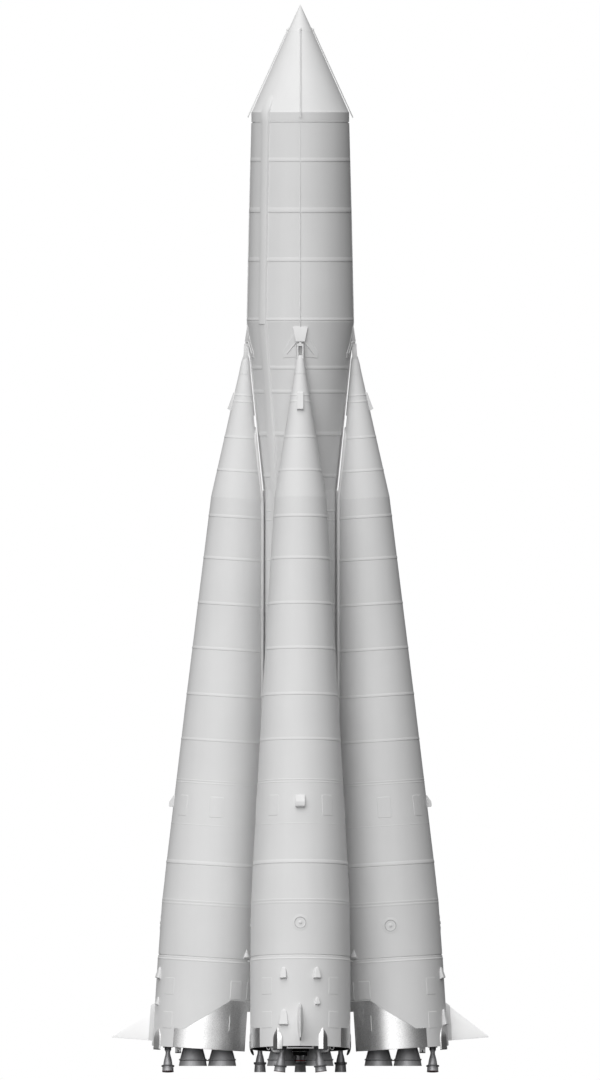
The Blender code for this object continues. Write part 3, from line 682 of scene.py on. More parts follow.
def makeCoreEngine():
    places = engineLook["corePlaces"]
    plate = [(0.1, 0.8002), (0.93, 0.8002), (0.9535, 0.806), (0.9535, 0.844), (0.94, 0.85), (0.1, 0.85)]
    # block standing for the machinery between the nozzles, near-black as painted shade; the plate under it in sooted
    # board, its black partly painted shade
    machinery = softBox((-0.6, -0.6, 0.845), (0.6, 0.6, 1.7), 0.08, 0.03)
    newPiece("coreBasePlate", [lathe(plate, 96), machinery], sootAndShadeBoard, replaced=("core_engine",))
    newPiece("coreNozzles", atEngines(bellShape(), places, 0.0), nozzleSteel)
    # feed pipe from the base plate to each core nozzle's ring
    way = np.linspace(0.0, 1.0, 18)[:, None]
    start, bend, end = np.array([[0.0, -0.66, 0.8], [0.0, -0.7, 0.62], [0.17, -0.62, 0.46]])
    pipe = tube(start * (1 - way) ** 2 + bend * 2 * way * (1 - way) + end * way ** 2, 0.02, 12)
    # feed pipes in blackened steel, with the dark bands that paint the shadow under each nozzle's ring
    newPiece("coreFeedPipes", fourfold([pipe]) + bellRingShadows(places, 0.0), darkFittingAndShade)


# small engines, the boosters' kind first and the core's second, whose chamber is shorter and bell
# longer. shape: radius and height of collar, bottle neck, chamber, ring, bell and its inside,
# below the hinge, length in all; collar: half width; ring: the throat's, its upper and lower
# end and its reach. At a cant the rim's low side stays on the floor
swivelLook = {"shape": (((0.04, -0.03), (0.085, -0.034), (0.0915, -0.042), (0.0915, -0.1), (0.084, -0.136),
    (0.07, -0.158), (0.064, -0.175), (0.064, -0.23), (0.08, -0.296), (0.0948, -0.35), (0.107, -0.402),
    (0.1165, -0.46), (0.125, -0.52), (0.1265, -0.545), (0.164, -0.547), (0.171, -0.551), (0.173, -0.558),
    (0.173, -0.572), (0.171, -0.58), (0.15, -0.584), (0.1485, -0.592), (0.1495, -0.618), (0.1545, -0.622),
    (0.1545, -0.636), (0.151, -0.64), (0.155, -0.69), (0.1585, -0.716), (0.159, -0.7274), (0.149, -0.7274),
    (0.137, -0.69), (0.125, -0.59), (0.1, -0.4), (0.07, -0.29), (0.04, -0.22), (0.038, -0.215)),
    ((0.04, -0.03), (0.07, -0.034), (0.0765, -0.042), (0.0765, -0.128), (0.071, -0.136), (0.0665, -0.15),
    (0.0655, -0.17), (0.069, -0.218), (0.0863, -0.273), (0.0997, -0.328), (0.112, -0.382), (0.12, -0.437),
    (0.122, -0.446), (0.162, -0.449), (0.1685, -0.456), (0.1685, -0.498), (0.163, -0.505), (0.15, -0.508),
    (0.146, -0.522), (0.146, -0.552), (0.15, -0.6), (0.154, -0.655), (0.1575, -0.705), (0.1575, -0.716),
    (0.148, -0.716), (0.136, -0.68), (0.122, -0.56), (0.1, -0.4), (0.07, -0.29), (0.04, -0.22), (0.038, -0.215))),
    "collar": (0.0925, 0.0775), "ring": ((-0.545, -0.587, 0.1775), (-0.447, -0.508, 0.1725)), "length": 0.7274,
    "rimRadius": 0.16, "drum": ((-0.098, 0.05), (-0.094, 0.055), (0.094, 0.055), (0.098, 0.05)), "count": 56}


def makeSwivel(name, node, side, radial, cant, index, core):
    look = swivelLook
    length = (engineLook["pivotHeight"] - look["rimRadius"] * abs(math.sin(cant))) / math.cos(cant)
    stretch = length / look["length"]
    lean = Matrix.Rotation(-cant if side > 0.0 else cant, 4, "Y")
    place = around(index) @ Matrix.Translation((side, -radial, engineLook["pivotHeight"])) @ lean
    body = lathe([(r, z * stretch) for r, z in look["shape"][core]], look["count"])
    drum = tube([(0.0, y, 0.0) for y, _ in look["drum"]], [r for _, r in look["drum"]], 32)
    newPiece(name, [body, drum], swivelSteel, body=node, replaced=(node,), matrix=place)
    # dark collar and the stiffening ring at the throat, darker than the bell
    wide = look["collar"][core]
    collar = lathe([(wide - 0.008, -0.033), (wide, -0.04), (wide, -0.1), (wide - 0.006, -0.13)], look["count"])
    high, low, reach = look["ring"][core]
    ring = [(0.12, high), (reach - 0.008, high - 0.001), (reach, high - 0.007), (reach, low + 0.009),
        (reach - 0.008, low + 0.001), (0.138, low)]
    ring = lathe([(r, z * stretch) for r, z in ring], look["count"])
    newPiece(name + "Collar", [collar, ring], throatSteel, body=node, matrix=place)
    if not core:
        cover = [(0.13, 0.022), (0.1591, 0.02), (0.1597, 0.012), (0.1591, 0.0005), (0.13, 0.0005)]
        cover = lathe([(r, z - length) for r, z in cover], look["count"])
        newPiece(name + "Cover", [cover], fadedCover, body=node, matrix=place)


def mirroredBox(sign, low, high, radius, bevel):
    # Box given for the right-hand side, or its mirror image on the left
    near, far = sorted((sign * low[0], sign * high[0]))
    return softBox((near, *low[1:]), (far, *high[1:]), radius, bevel)


def makeBoosterNoses():
    cone = [(0.02, -0.313), (0.044, -0.318), (0.062, -0.33), (0.076, -0.352), (0.0864, -0.385), (0.118, -0.516),
        (0.1605, -0.816), (0.1655, -0.826), (0.1655, -0.83), (0.155, -0.832), (0.155, -0.843), (0.15, -0.843)]
    stud = [(0.03, -0.01), (0.04, 0.0), (0.04, 0.04), (0.034, 0.0455), (0.015, 0.046)]
    prongs = [mirroredBox(sign, (0.054, -0.068, -0.42), (0.089, 0.068, -0.06), 0.006, 0.003) for sign in signs]
    bridge = softBox((-0.089, -0.068, -0.074), (0.089, 0.068, -0.003), 0.006, 0.004)
    boosterPieces("NoseShell", [lathe(cone, 64), *prongs, bridge, lathe(stud, 32)], greyPaint, "nose", sharp=18.0)


def ridge(half, stations, lug):
    # Flat-topped ridge along the booster: a solid lug on its outer side, or a cable tray on its
    # side to the core, with walls down to the skin. Stations: distance, height off the skin,
    # share of the width
    rows = []
    for distance, lift, share in stations:
        wide, skin = half * share, boosterRadius(distance)
        if lug:
            foot, top, edge = skin - 0.05, skin + lift, 0.01
        else:
            foot = math.sqrt(skin ** 2 - wide ** 2) - 0.012
            top, edge = max(skin + lift, foot + 0.02), 0.028 * share
        shoulder = max(top - edge, foot + 0.004)
        line = [(wide, foot), (wide, shoulder), (wide - edge, top)]
        line = [(-across, reach) for across, reach in line] + line[::-1]
        rows.append([(across, -reach if lug else reach, -distance) for across, reach in line])
    return gridSolid(rows)


def dentedShell(low, high, count, start, end, depth):
    # Shell with a shallow flat pressed into its side to the core
    vertices, quads, triangles = boosterShell(low, high, count)
    vertices = vertices.copy()
    limit = boosterRadius(-vertices[:, 2]) - depth
    inside = (-vertices[:, 2] > start) & (-vertices[:, 2] < end)
    vertices[:, 1] = np.where(inside, np.minimum(vertices[:, 1], limit), vertices[:, 1])
    return vertices, quads, triangles


tankLook = {"trayHalf": (0.25, 0.262), "lugHalf": (0.088, 0.13), "panelAt": 12.688,
    "panels": ((38.0, 0.178), (88.5, 0.19)), "upperTray": ((2.264, 0.002, 0.4), (2.3, 0.006, 0.42),
    (2.45, 0.008, 0.85), (2.62, 0.008, 1.0), (3.4, 0.008, 1.0), (3.9, 0.012, 1.0), (4.222, 0.018, 1.0)),
    "upperLug": ((1.335, 0.004, 0.96), (1.362, 0.036, 1.0), (1.5, 0.052, 1.0), (1.68, 0.076, 1.0),
    (1.808, 0.0985, 1.0), (1.846, 0.004, 0.98)), "lowerTray": ((4.2265, 0.018, 0.96), (4.6, 0.027, 1.0),
    (9.655, 0.027, 1.0), (14.29, 0.027, 1.0)), "lowerLug": ((12.42, 0.002, 0.95), (12.44, 0.03, 1.0),
    (12.6, 0.118, 1.0), (12.615, 0.122, 1.0), (12.7, 0.122, 1.0), (12.725, 0.116, 1.0), (12.745, 0.104, 0.99),
    (12.755, 0.08, 0.97))}


def makeBoosterTanks():
    look = tankLook
    parts = [dentedShell(0.8433, 4.2238, 144, 1.949, 2.258, 0.03),
        ridge(look["trayHalf"][0], look["upperTray"], False), ridge(look["lugHalf"][0], look["upperLug"], True)]
    boosterPieces("UpperTankShell", parts, greyPaint, "upper_tank", sharp=skinSharp)
    parts = [boosterShell(4.2243, 14.2928, 168), ridge(look["trayHalf"][1], look["lowerTray"], False),
        ridge(look["lugHalf"][1], look["lowerLug"], True)]
    for angle, width in look["panels"]:
        parts += padPair(angle, look["panelAt"], roundedRectangle(width, 0.285, 0.045, 5), 0.006)
    boosterPieces("LowerTankShell", parts, greyPaint, "lower_tank", sharp=skinSharp)


# bare skirt, in metres from the booster's tip and from its axis; angles from its outer side
skirtLook = {"wall": 0.02, "flat": 1.16, "ledge": 18.203, "highEdge": 17.925, "lowEdge": 18.768, "side": 54.0,
    "lowAngle": 67.8, "highAngle": 120.5, "rim": 19.297, "rimRadius": 1.368}


def skirtEdge(angle):
    # Distance of the seam between painted tail and bare skirt, as a function of the angle
    look = skirtLook
    angle = np.abs((np.asarray(angle) + 180.0) % 360.0 - 180.0)
    slope = np.interp(angle, (look["lowAngle"], look["highAngle"]), (look["lowEdge"], look["highEdge"]))
    return np.where(angle < look["side"], look["rim"], slope)


def columnAngles(start, end, step):
    # Evenly spaced angles with extra ones at the seam's corners
    marks = [skirtLook["side"] - 0.15, skirtLook["side"] + 0.15, skirtLook["lowAngle"], skirtLook["highAngle"]]
    marks += [360.0 - m for m in marks]
    plain = np.arange(start, end + 1e-6, step)
    plain = [a for a in plain if all(abs(a - m) > 0.4 for m in marks)]
    return np.array(sorted(plain + [m for m in marks if start <= m <= end]))


def dish(angle, distance, steps, ring=False):
    # Round shape on the skin: circles of a given reach and lift from outside to inside, closed
    # in the middle or, as a ring, from the last circle back to the first
    turn = np.linspace(0.0, 2.0 * math.pi, 40, endpoint=False)
    rows = []
    for reach, lift in steps:
        run = distance + reach * np.cos(turn)
        rows.append(boosterPoint(angle + reach * np.sin(turn) / boosterRadius(run), run, lift))
    return gridSolid(np.stack(rows[::-1], axis=1), ring=True) if ring else gridSolid(rows)


# wall: radius and distance; port: a gentle swell to a lip, a slope inside it and a small boss;
# scoops: angle, upper and lower end, half width, height, taper, crown and section;
# pads: angle to both sides, upper and lower end, half width, height
tailLook = {"wall": ((1.297, 14.2933), (1.299, 14.31), (1.312, 14.6), (1.324, 14.85), (1.3385, 15.15),
    (1.346, 15.258), (1.35, 15.272), (1.3502, 15.3), (1.3482, 15.318), (1.3484, 15.34), (1.3524, 15.352),
    (1.3526, 15.385), (1.35, 15.4), (1.354, 15.9), (1.359, 16.5), (1.3605, 16.778), (1.344, 16.783),
    (1.344, 16.812), (1.363, 16.818), (1.364, 16.862), (1.374, 16.892), (1.374, 16.9), (1.369, 16.925)),
    "inside": 17.1, "portAt": 15.92, "portAngles": (0.0, -90.0),
    "port": ((0.24, -0.003), (0.23, 0.0005), (0.166, 0.007), (0.154, 0.0085), (0.13, 0.001), (0.058, 0.001),
    (0.046, 0.005), (0.036, 0.016), (0.016, 0.02)), "seal": ((0.159, 0.004), (0.157, 0.0105), (0.146, 0.01),
    (0.143, 0.004)), "scoops": ((-19.1, 17.135, 17.425, 0.094, 0.11, 0.78, 0.6, 0.3),
    (19.3, 17.135, 17.425, 0.104, 0.11, 0.7, 0.6, 0.42), (19.8, 17.95, 18.145, 0.07, 0.075, 0.72, 0.6, 0.34),
    (-18.9, 18.28, 18.7, 0.128, 0.12, 0.66, 0.5, 0.26), (140.0, 16.5, 16.722, 0.116, 0.105, 0.05, 0.0, 1.0),
    (-140.0, 16.5, 16.722, 0.116, 0.105, 0.05, 0.0, 1.0)),
    "pads": ((42.4, 17.4, 17.87, 0.188, 0.009), (42.4, 18.33, 18.79, 0.188, 0.009),
    (127.0, 17.39, 17.9, 0.19, 0.014), (152.0, 17.39, 17.9, 0.19, 0.014))}


def makeBoosterTails():
    look = tailLook
    angles = columnAngles(0.0, 359.9, 2.25)
    turn, edge = np.radians(angles), skirtEdge(angles)
    rows = [polar(radius, turn, -distance) for radius, distance in look["wall"]]
    last = look["wall"][-1][1]
    for share in (0.35, 0.7, 1.0):
        run = last + (edge - last) * share
        rows.append(polar(np.interp(run, (last, skirtLook["rim"]), (1.367, 1.368)), turn, -run))
    inner = skirtLook["rimRadius"] - skirtLook["wall"]
    rows += [polar(inner, turn, -edge), polar(inner, turn, -look["inside"])]
    spots = [math.radians(angle) for angle in look["portAngles"]]
    seals = [dish(spot, look["portAt"], look["seal"], ring=True) for spot in spots]
    boosterPieces("PortSeals", seals, portSeal)
    parts = [gridSolid(rows)] + [dish(spot, look["portAt"], look["port"]) for spot in spots]
    parts += [fairing(math.radians(scoop[0]), *scoop[1:]) for scoop in look["scoops"]]
    for angle, top, foot, half, lift in look["pads"]:
        parts += padPair(angle, (top + foot) / 2.0, roundedRectangle(half, (foot - top) / 2.0, 0.03, 4), lift)
    boosterPieces("TailShell", parts, greyPaint, "tail", sharp=4.0)
    # wedges: inner halves in bright skirt steel; outer halves in a darker copy of it, painted shade; feet in
    # blackened steel, painted shadow at their lower ends
    for name, metal, shapes in (("SwivelFairings", heatSteel, ((18.788, 19.374, True),)),
            ("SwivelFairingWalls", shadedWallSteel, ((18.788, 19.372, False),)),
            ("SwivelFairingFeet", darkFittingAndShade, ((19.3743, 19.394, True), (19.3723, 19.394, False)))):
        boosterPieces(name, [wedgeShape(sign, *shape) for sign in signs for shape in shapes], metal, sharp=20.0)


# leaf-shaped roof over a small engine. Stations: distance, width to its outer and its inner
# side of the ridge, share of the height, step at the inner edge
wedgeLook = {"ridge": 0.627, "proud": 0.119, "wall": 0.036, "sunk": 0.01,
    "stations": ((18.788, 0.006, 0.016, 0.03, 0.002), (18.82, 0.014, 0.042, 0.22, 0.006),
    (18.847, 0.027, 0.052, 0.36, 0.012), (18.874, 0.045, 0.058, 0.48, 0.018), (18.902, 0.062, 0.072, 0.61, 0.026),
    (18.957, 0.085, 0.098, 0.83, 0.042), (19.011, 0.104, 0.114, 0.96, 0.056), (19.066, 0.112, 0.122, 1.0, 0.06),
    (19.148, 0.114, 0.127, 1.0, 0.056), (19.23, 0.114, 0.129, 1.0, 0.048), (19.32, 0.114, 0.13, 1.0, 0.04),
    (19.395, 0.113, 0.13, 0.99, 0.036))}


def wedgeShape(sign, top, foot, leaf):
    # In metres across (u) and outwards (v): a low wall on its outer side, a straight slope up to
    # the ridge, and a face that bows gently down inwards. leaf gives that inner half, otherwise
    # the outer one
    look = wedgeLook
    ridge, sunk = look["ridge"], look["sunk"]
    stations = np.array(look["stations"])
    rows = []
    for run in sorted({top, foot, *(s for s in stations[:, 0] if top < s < foot)}):
        left, right, share, step = (np.interp(run, stations[:, 0], stations[:, i]) for i in (1, 2, 3, 4))

        def skin(u):
            return math.sqrt(boosterRadius(run) ** 2 - u ** 2)

        peak = skin(ridge) + look["proud"] * share
        inner, outer = ridge - right, ridge + left
        low = min(skin(inner) + step, peak)
        edge = skin(outer) + look["wall"] * share
        if leaf:
            line = [(inner, skin(inner) - sunk)]
            for q in (1.0, 0.75, 0.5, 0.25, 0.0):
                line.append((ridge - right * q, peak - (peak - low) * (0.45 * q + 0.55 * q * q)))
            line.append((ridge, skin(ridge) - sunk))
        else:
            line = [(ridge, skin(ridge) - sunk), (ridge, peak), ((ridge + outer) / 2.0, (peak + edge) / 2.0),
                (outer, edge), (outer, skin(outer) - sunk)]
        rows.append([(sign * u, -v, -run) for u, v in line])
    return gridSolid(rows)


def makeHeatSkirts():
    look = skirtLook
    start = look["side"] + 0.45
    angles = np.unique(np.concatenate([columnAngles(start, 360.0 - start, 1.75), [start, 360.0 - start]]))
    turn = np.radians(angles)
    edge = skirtEdge(angles) + 0.0014
    ledge = np.maximum(look["ledge"], edge + 0.03)
    full = np.full(len(angles), look["rimRadius"] - 0.0008)
    flat = np.minimum(full, look["flat"] / np.maximum(-np.cos(turn), 1e-6) - 0.002)
    rim, wall = look["rim"], look["wall"]
    section = [(full - 0.006, edge), (full, edge + 0.004), (full, ledge - 0.004), (full, ledge),
        (flat, ledge + 0.006), (flat, ledge + 0.03), (flat, rim - 0.06), (flat + 0.0005, rim - 0.055),
        (flat + 0.0005, rim - 0.005), (flat - 0.004, rim), (flat - wall, rim), (flat - wall, ledge - 0.018),
        (full - wall, ledge - 0.022), (full - wall, edge)]
    shell = gridSolid(np.stack([polar(r, turn, -s) for r, s in section], axis=1))
    boosterPieces("HeatSkirtShell", [shell], heatSteel, "heat_skirt")
    # thin straight rod down each side of the bare sheet
    run = np.linspace(18.345, 18.765, 8)
    rods = [tube(polar(look["rimRadius"] + 0.003, math.radians(sign * look["highAngle"]), -run), 0.009, 10)
        for sign in signs]
    boosterPieces("HeatSkirtRods", rods, greyPaint)


def skirtReach(turn):
    # Inner reach of the skirt: round, but flat on its side to the core
    return np.minimum(skirtLook["rimRadius"], skirtLook["flat"] / np.maximum(-np.cos(turn), 1e-6))


# what hangs under a booster's tail, for the right-hand side: across, outwards and up; board,
# lip and lining: inset or radius and distance from the booster's tip
underLook = {"board": ((0.6, 19.177), (0.03, 19.177), (0.0245, 19.172), (0.0245, 19.132), (0.03, 19.127),
    (0.6, 19.127)), "base": ((0.57, -3.41, 0.69), (0.79, -3.26, 0.86)),
    "foot": ((0.575, -3.4175, 0.531), (0.74, -3.2525, 0.552)),
    "filler": ((0.575, 0.7), (0.575, 0.552), (0.69, 0.552), (0.76, 0.59), (0.785, 0.65), (0.785, 0.7)),
    "fillerMiddle": -3.335, "inner": 0.565, "outer": 0.8, "bend": 0.12, "top": 0.7, "bottom": 0.553,
    "lobes": (-3.287, -3.383), "lobeDepth": 0.0345, "armRadius": 0.008, "armHeight": 0.33,
    "lip": ((1.3, 19.332), (1.334, 19.332), (1.339, 19.337), (1.339, 19.362), (1.334, 19.367), (1.3, 19.367)),
    "lipEnds": 16.1, "hanger": ((0.325, -1.29, -19.345), (0.365, -1.265, -19.17)),
    "lining": ((0.0, 19.185), (0.0, 19.292), (0.005, 19.292), (0.005, 19.185)), "liningInset": 0.0235,
    "disc": ((0.02, 0.345), (0.165, 0.343), (0.172, 0.336), (0.172, 0.324), (0.165, 0.317), (0.02, 0.315))}


def makeBoosterEngines():
    look, radial, places = underLook, engineLook["boosterRadial"], engineLook["boosterPlaces"]
    turn = np.radians(np.arange(0.0, 360.0, 3.0))
    # sooted board across the tail, its black partly painted shade, and a block for the machinery between the nozzles,
    # near-black as painted shade
    board = gridSolid([polar(skirtReach(turn) - inset, turn, -run) for inset, run in look["board"]])
    machinery = softBox((-0.85, -0.62, -19.14), (0.85, 0.86, -18.45), 0.1, 0.04)
    boosterPieces("BaseBoard", [board, machinery], sootAndShadeBoard, "engine")
    boosterPieces("Nozzles", atEngines(bellShape(), places, radial), nozzleSteel, upright=True)
    # dark bands under the nozzles' rings: painted shadow
    fittings = bellRingShadows(places, radial)
    for sign in signs:
        fittings += hingeCheeks(sign * engineLook["pivotSide"], engineLook["boosterPivot"], 0.85)
    # four thin arms from the nozzles that carry the red disc
    for x, y in places:
        way = np.linspace(0.22, 0.5, 4)[:, None]
        path = np.array([x, y, 0.0]) * way + [0.0, -radial, look["armHeight"]]
        fittings.append(tube(path, look["armRadius"], 8))
    for sign in signs:
        # block, foot plate and the gap filler of the casting below; the foot plate and the filler are dark as painted
        # shade under the casting and in the groove between its lobes
        filler = slab([(sign * x, z) for x, z in look["filler"]], 0.014, 1)
        fittings += [mirroredBox(sign, *look["base"], 0.02, 0.006), mirroredBox(sign, *look["foot"], 0.01, 0.004),
            moved(filler, Matrix.Translation((0.0, look["fillerMiddle"], 0.0)))]
    boosterPieces("TailFittings", fittings, darkFittingAndShade, upright=True)
    casts = []
    for sign in signs:
        # rounded elbow casting of two lobes: profile in the plane across the booster, carried along it
        inner, outer, bend = look["inner"], look["outer"], look["bend"]
        corner = np.linspace(-math.pi / 2.0, 0.0, 10)
        shape = [(inner, look["top"]), (inner, look["bottom"]),
            *zip(outer - bend + bend * np.cos(corner), look["bottom"] + bend + bend * np.sin(corner)),
            (outer, look["top"])]
        lobe = slab([(sign * x, z) for x, z in shape], look["lobeDepth"], 1)
        casts += [moved(lobe, Matrix.Translation((0.0, middle, 0.0))) for middle in look["lobes"]]
        way = np.linspace(0.0, math.pi, 20)
        loop = np.stack([sign * (0.87 + 0.05 * np.cos(way)), np.full(20, -3.33), 0.72 - 0.095 * np.sin(way)], axis=-1)
        casts.append(tube(loop, 0.013, 10))
    boosterPieces("TailCastings", casts, paleFitting, upright=True)
    # lip bar hung under the rim, between the two ridge fairings
    radius, run = np.array(look["lip"]).T
    ends = look["lipEnds"]
    lips = [gridSolid([polar(radius, turn, -run) for turn in np.radians(np.linspace(-ends, ends, 30))])]
    lips += [mirroredBox(sign, *look["hanger"], 0.004, 0.002) for sign in signs]
    boosterPieces("RimLip", lips, dullCasting)
    # near-black lining on the inside of the skirt's rim: painted shade inside the rim
    inset, run = np.array(look["lining"]).T
    turns = np.radians(np.arange(0.0, 360.0, 2.0))
    rows = [polar(skirtReach(turn) - look["liningInset"] - inset, turn, -run) for turn in turns]
    boosterPieces("RimLining", [gridSolid(rows, ring=True)], sootAndShadeBoard)
    disc = moved(lathe(look["disc"], 48), Matrix.Translation((0.0, -radial, 0.0)))
    boosterPieces("RedDisc", [disc], redCover, upright=True)


# pylon stations: distance, share of the width, share of the height; fin at its root and its tip
pylonLook = {"half": 0.09, "face": 1.4838, "edge": 0.006, "flat": 0.2,
    "stations": ((18.125, 0.06, 0.02), (18.14, 0.2, 0.28), (18.165, 0.36, 0.6), (18.21, 0.54, 1.0),
    (18.28, 0.7, 1.0), (18.38, 0.86, 1.0), (18.5, 0.96, 1.0), (18.62, 1.0, 1.0), (18.74, 0.96, 1.0),
    (18.86, 0.83, 1.0), (18.97, 0.62, 1.0), (19.04, 0.42, 1.0), (19.09, 0.3, 1.0), (19.13, 0.23, 1.0),
    (19.152, 0.2, 1.0), (19.156, 0.18, 0.96)), "pad": ((-0.02, -1.381, -19.28), (0.02, -1.366, -19.166))}
finLook = {"out": (1.4846, 2.4815), "half": (0.0235, 0.008), "top": (18.236, 19.1), "foot": (19.15, 19.131),
    "way": (0.0, 0.03, 0.12, 0.3, 0.62, 0.9, 0.985, 1.0), "thick": (0.0, 0.42, 0.8, 1.0, 1.0, 0.94, 0.87, 0.84),
    "shadeHigh": (0.76, 0.02), "shadeLow": (0.74, -0.002)}


def makeFins():
    look, fin = pylonLook, finLook
    # pylon: two faces that rise from the skin to a narrow ridge, leaf-shaped along the booster
    columns = np.array([-1.0, -0.6, -look["flat"], 0.0, look["flat"], 0.6, 1.0])
    height = np.clip((1.0 - np.abs(columns)) / (1.0 - look["flat"]), 0.0, 1.0)
    rows = []
    for run, share, lift in look["stations"]:
        skin, across, down = boosterRadius(run), look["half"] * share * columns, np.full(7, -run)
        behind = np.stack([across, -np.sqrt((skin - 0.004) ** 2 - across ** 2), down], axis=-1)
        rise = look["edge"] + (look["face"] - skin - look["edge"]) * lift * height
        ahead = np.stack([across, -(np.sqrt(skin ** 2 - across ** 2) + rise), down], axis=-1)[::-1]
        rows.append(np.vstack([behind, ahead]))
    boosterPieces("FinFoot", [gridSolid(rows)], greyPaint, "fin_pylon", sharp=22.0)
    # low pad on the skin below the pylon
    boosterPieces("FinPad", [softBox(*look["pad"], 0.008, 0.004)], greyPaint)

    def finAt(share):
        return (fin[key][0] + (fin[key][1] - fin[key][0]) * share for key in ("out", "top", "foot", "half"))

    # dark strip along the blunt trailing edge: painted shade on that down-facing edge
    edges = []
    for share in np.linspace(0.0, 1.0, 8):
        out, top, foot, half = finAt(share)
        high, low = ((half * wide, up - foot) for wide, up in (fin["shadeHigh"], fin["shadeLow"]))
        edges.append([(x, -out, z) for x, z in (high, low, (-low[0], low[1]), (-high[0], high[1]))])
    boosterPieces("FinEdgeShade", [gridSolid(edges)], darkFittingAndShade, moving="fin")
    # fin: a thin section, sharp at its leading edge, carried from root to tip
    rows = []
    for share in np.concatenate([[0.0, 0.01], np.linspace(0.1, 0.97, 14), [1.0]]):
        out, top, foot, half = finAt(share)
        thick = np.array(fin["thick"]) * half
        run = top + (foot - top) * np.array(fin["way"])
        right = np.stack([thick, np.full(8, -out), -run], axis=-1)
        rows.append(np.vstack([right, right[:0:-1] * [-1.0, 1.0, 1.0]]))
    boosterPieces("FinSkin", [gridSolid(rows)], whitePaint, "fin", moving="fin")


# hoop round the core's tail and the two rods from it to each booster: radius and height of
# the hoop's section, share of the way and radius down a rod
tieLook = {"hoop": ((0.9745, 3.08), (1.0, 3.08), (1.005, 3.074), (1.005, 3.016), (1.0, 3.01), (0.9745, 3.01)),
    "rod": ((0.64, -0.76, 3.045), (0.852, -1.436, 3.045)), "way": (0.0, 0.05, 0.08, 0.9, 0.93, 1.0),
    "radii": (0.03, 0.03, 0.019, 0.019, 0.019, 0.019)}


def makeTies():
    look = tieLook
    radius, height = np.array(look["hoop"]).T
    hoop = gridSolid([polar(radius, turn, height) for turn in np.radians(np.arange(0.0, 360.0, 3.0))], ring=True)
    way = np.array(look["way"])[:, None]
    (start, end), rods = np.array(look["rod"]), []
    for sign in signs:
        rods.append(tube((start * (1.0 - way) + end * way) * [sign, 1.0, 1.0], look["radii"], 20))
    newPiece("tailTieRods", [hoop, *fourfold(rods)], paleFitting, replaced=("tail_tie_rods",))


makeNose()
print("nose made")
makeCoreTanks()
makeDuct()
makeBrackets()
makeCoreTail()
makeCoreEngine()
makeTies()
print("core stage made")
makeBoosterNoses()
makeBoosterTanks()
makeBoosterTails()
makeHeatSkirts()
makeBoosterEngines()
makeFins()
print("boosters made")
for number, direction in enumerate(sides):
    for letter, sign in zip("ab", signs):
        makeSwivel("booster%sSwivel%s" % (direction.capitalize(), letter.upper()),
            "booster_%s_swivel_%s" % (direction, letter), sign * engineLook["pivotSide"],
            engineLook["boosterPivot"], engineLook["cant"], number, False)
    makeSwivel("coreSwivel" + direction.capitalize(), "core_swivel_" + direction, 0.0, engineLook["corePivot"], 0.0,
        number, True)
print("small engines made")


def makeFloor():
    count, radius = 96, floorLook["radius"]
    rim = polar(radius, np.arange(count) * 2.0 * math.pi / count + math.pi / 2.0, -floorLook["drop"])
    mesh = bpy.data.meshes.new("floor")
    mesh.from_pydata(rim.tolist(), [], [tuple(range(count))])
    mesh.materials.append(studioFloor())
    floor = bpy.data.objects.new("floor", mesh)
    bpy.context.scene.collection.objects.link(floor)


def mathNode(tree, operation, *terms):
    # Maths node; each term is a plain value or a node with its output
    plain = {place: term for place, term in enumerate(terms) if not isinstance(term, tuple)}
    links = {place: term for place, term in enumerate(terms) if isinstance(term, tuple)}
    return addNode(tree, "ShaderNodeMath", {"operation": operation, **plain}, links), "Value"


# white room: soft panels by their turn from the camera's side, half width and its soft edge,
# lower and upper end and their soft edge (all degrees) and glow; the walls' and ceiling's glow
lightLook = {"panels": ((-18.0, 5.0, 55.0, -4.0, 84.0, 12.0, 2.25), (180.0, 50.0, 12.0, 30.0, 75.0, 12.0, 0.25)),
    "floorGlow": 0.02, "wallGlow": 0.04, "ceilingGlow": 0.8}


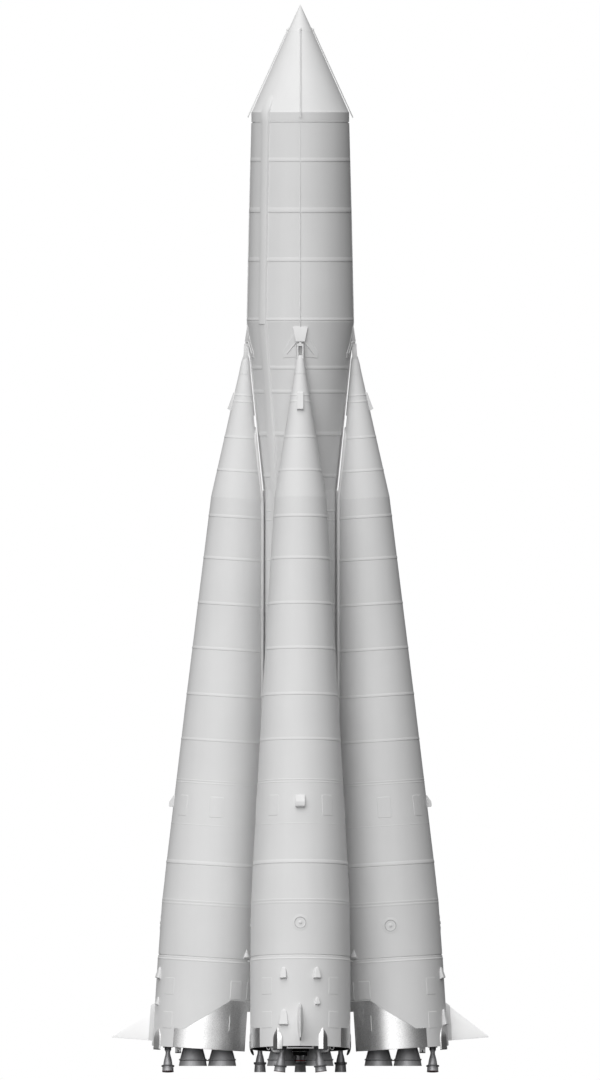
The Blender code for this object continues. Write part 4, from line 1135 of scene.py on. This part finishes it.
def glowPanel(tree, split, panel):
    # Soft-edged bright rectangle on the sky: its glow times a soft step in turn and in height
    turn, half, fade, low, high, edge, shine = panel
    sine, cosine = math.sin(math.radians(turn)), math.cos(math.radians(turn))
    x, y, z = ((split, axis) for axis in "XYZ")
    sideways = mathNode(tree, "MULTIPLY_ADD", y, sine, mathNode(tree, "MULTIPLY", x, cosine))
    ahead = mathNode(tree, "MULTIPLY_ADD", y, -cosine, mathNode(tree, "MULTIPLY", x, sine))
    off = mathNode(tree, "ABSOLUTE", mathNode(tree, "ARCTAN2", sideways, ahead))
    rise = mathNode(tree, "ARCSINE", z)
    for source, start, end in ((off, half + fade, half), (rise, low - edge, low), (rise, high + edge, high)):
        step = ranged(tree, source, math.radians(start), math.radians(end), kind="SMOOTHSTEP")
        shine = mathNode(tree, "MULTIPLY", step, shine)
    return shine


def makeWorld():
    # A wide softbox in front and a little to the left, a dimmer one behind, dim walls, and a
    # plain white backdrop where the camera looks past the object
    look = lightLook
    world = bpy.data.worlds.new("white studio")
    bpy.context.scene.world = world
    world.use_nodes = True
    tree = world.node_tree
    tree.nodes.clear()
    where = addNode(tree, "ShaderNodeTexCoord")
    split = addNode(tree, "ShaderNodeSeparateXYZ", None, {"Vector": (where, "Generated")})
    walls = ranged(tree, (split, "Z"), -0.1, 0.1, look["floorGlow"], look["wallGlow"])
    total = mathNode(tree, "ADD", walls, ranged(tree, (split, "Z"), 0.2, 1.0, 0.0, look["ceilingGlow"]))
    for panel in look["panels"]:
        total = mathNode(tree, "ADD", total, glowPanel(tree, split, panel))
    white = {"Color": (1.0, 1.0, 1.0, 1.0)}
    glow = addNode(tree, "ShaderNodeBackground", white, {"Strength": total})
    plain = addNode(tree, "ShaderNodeBackground", {**white, "Strength": 1.0})
    rays = addNode(tree, "ShaderNodeLightPath")
    links = {0: (rays, "Is Camera Ray"), 1: (glow, "Background"), 2: (plain, "Background")}
    mix = addNode(tree, "ShaderNodeMixShader", None, links)
    addNode(tree, "ShaderNodeOutputWorld", None, {"Surface": (mix, "Shader")})
    bpy.context.scene.view_settings.view_transform = "Standard"


makeFloor()
makeWorld()
print("floor and light made")
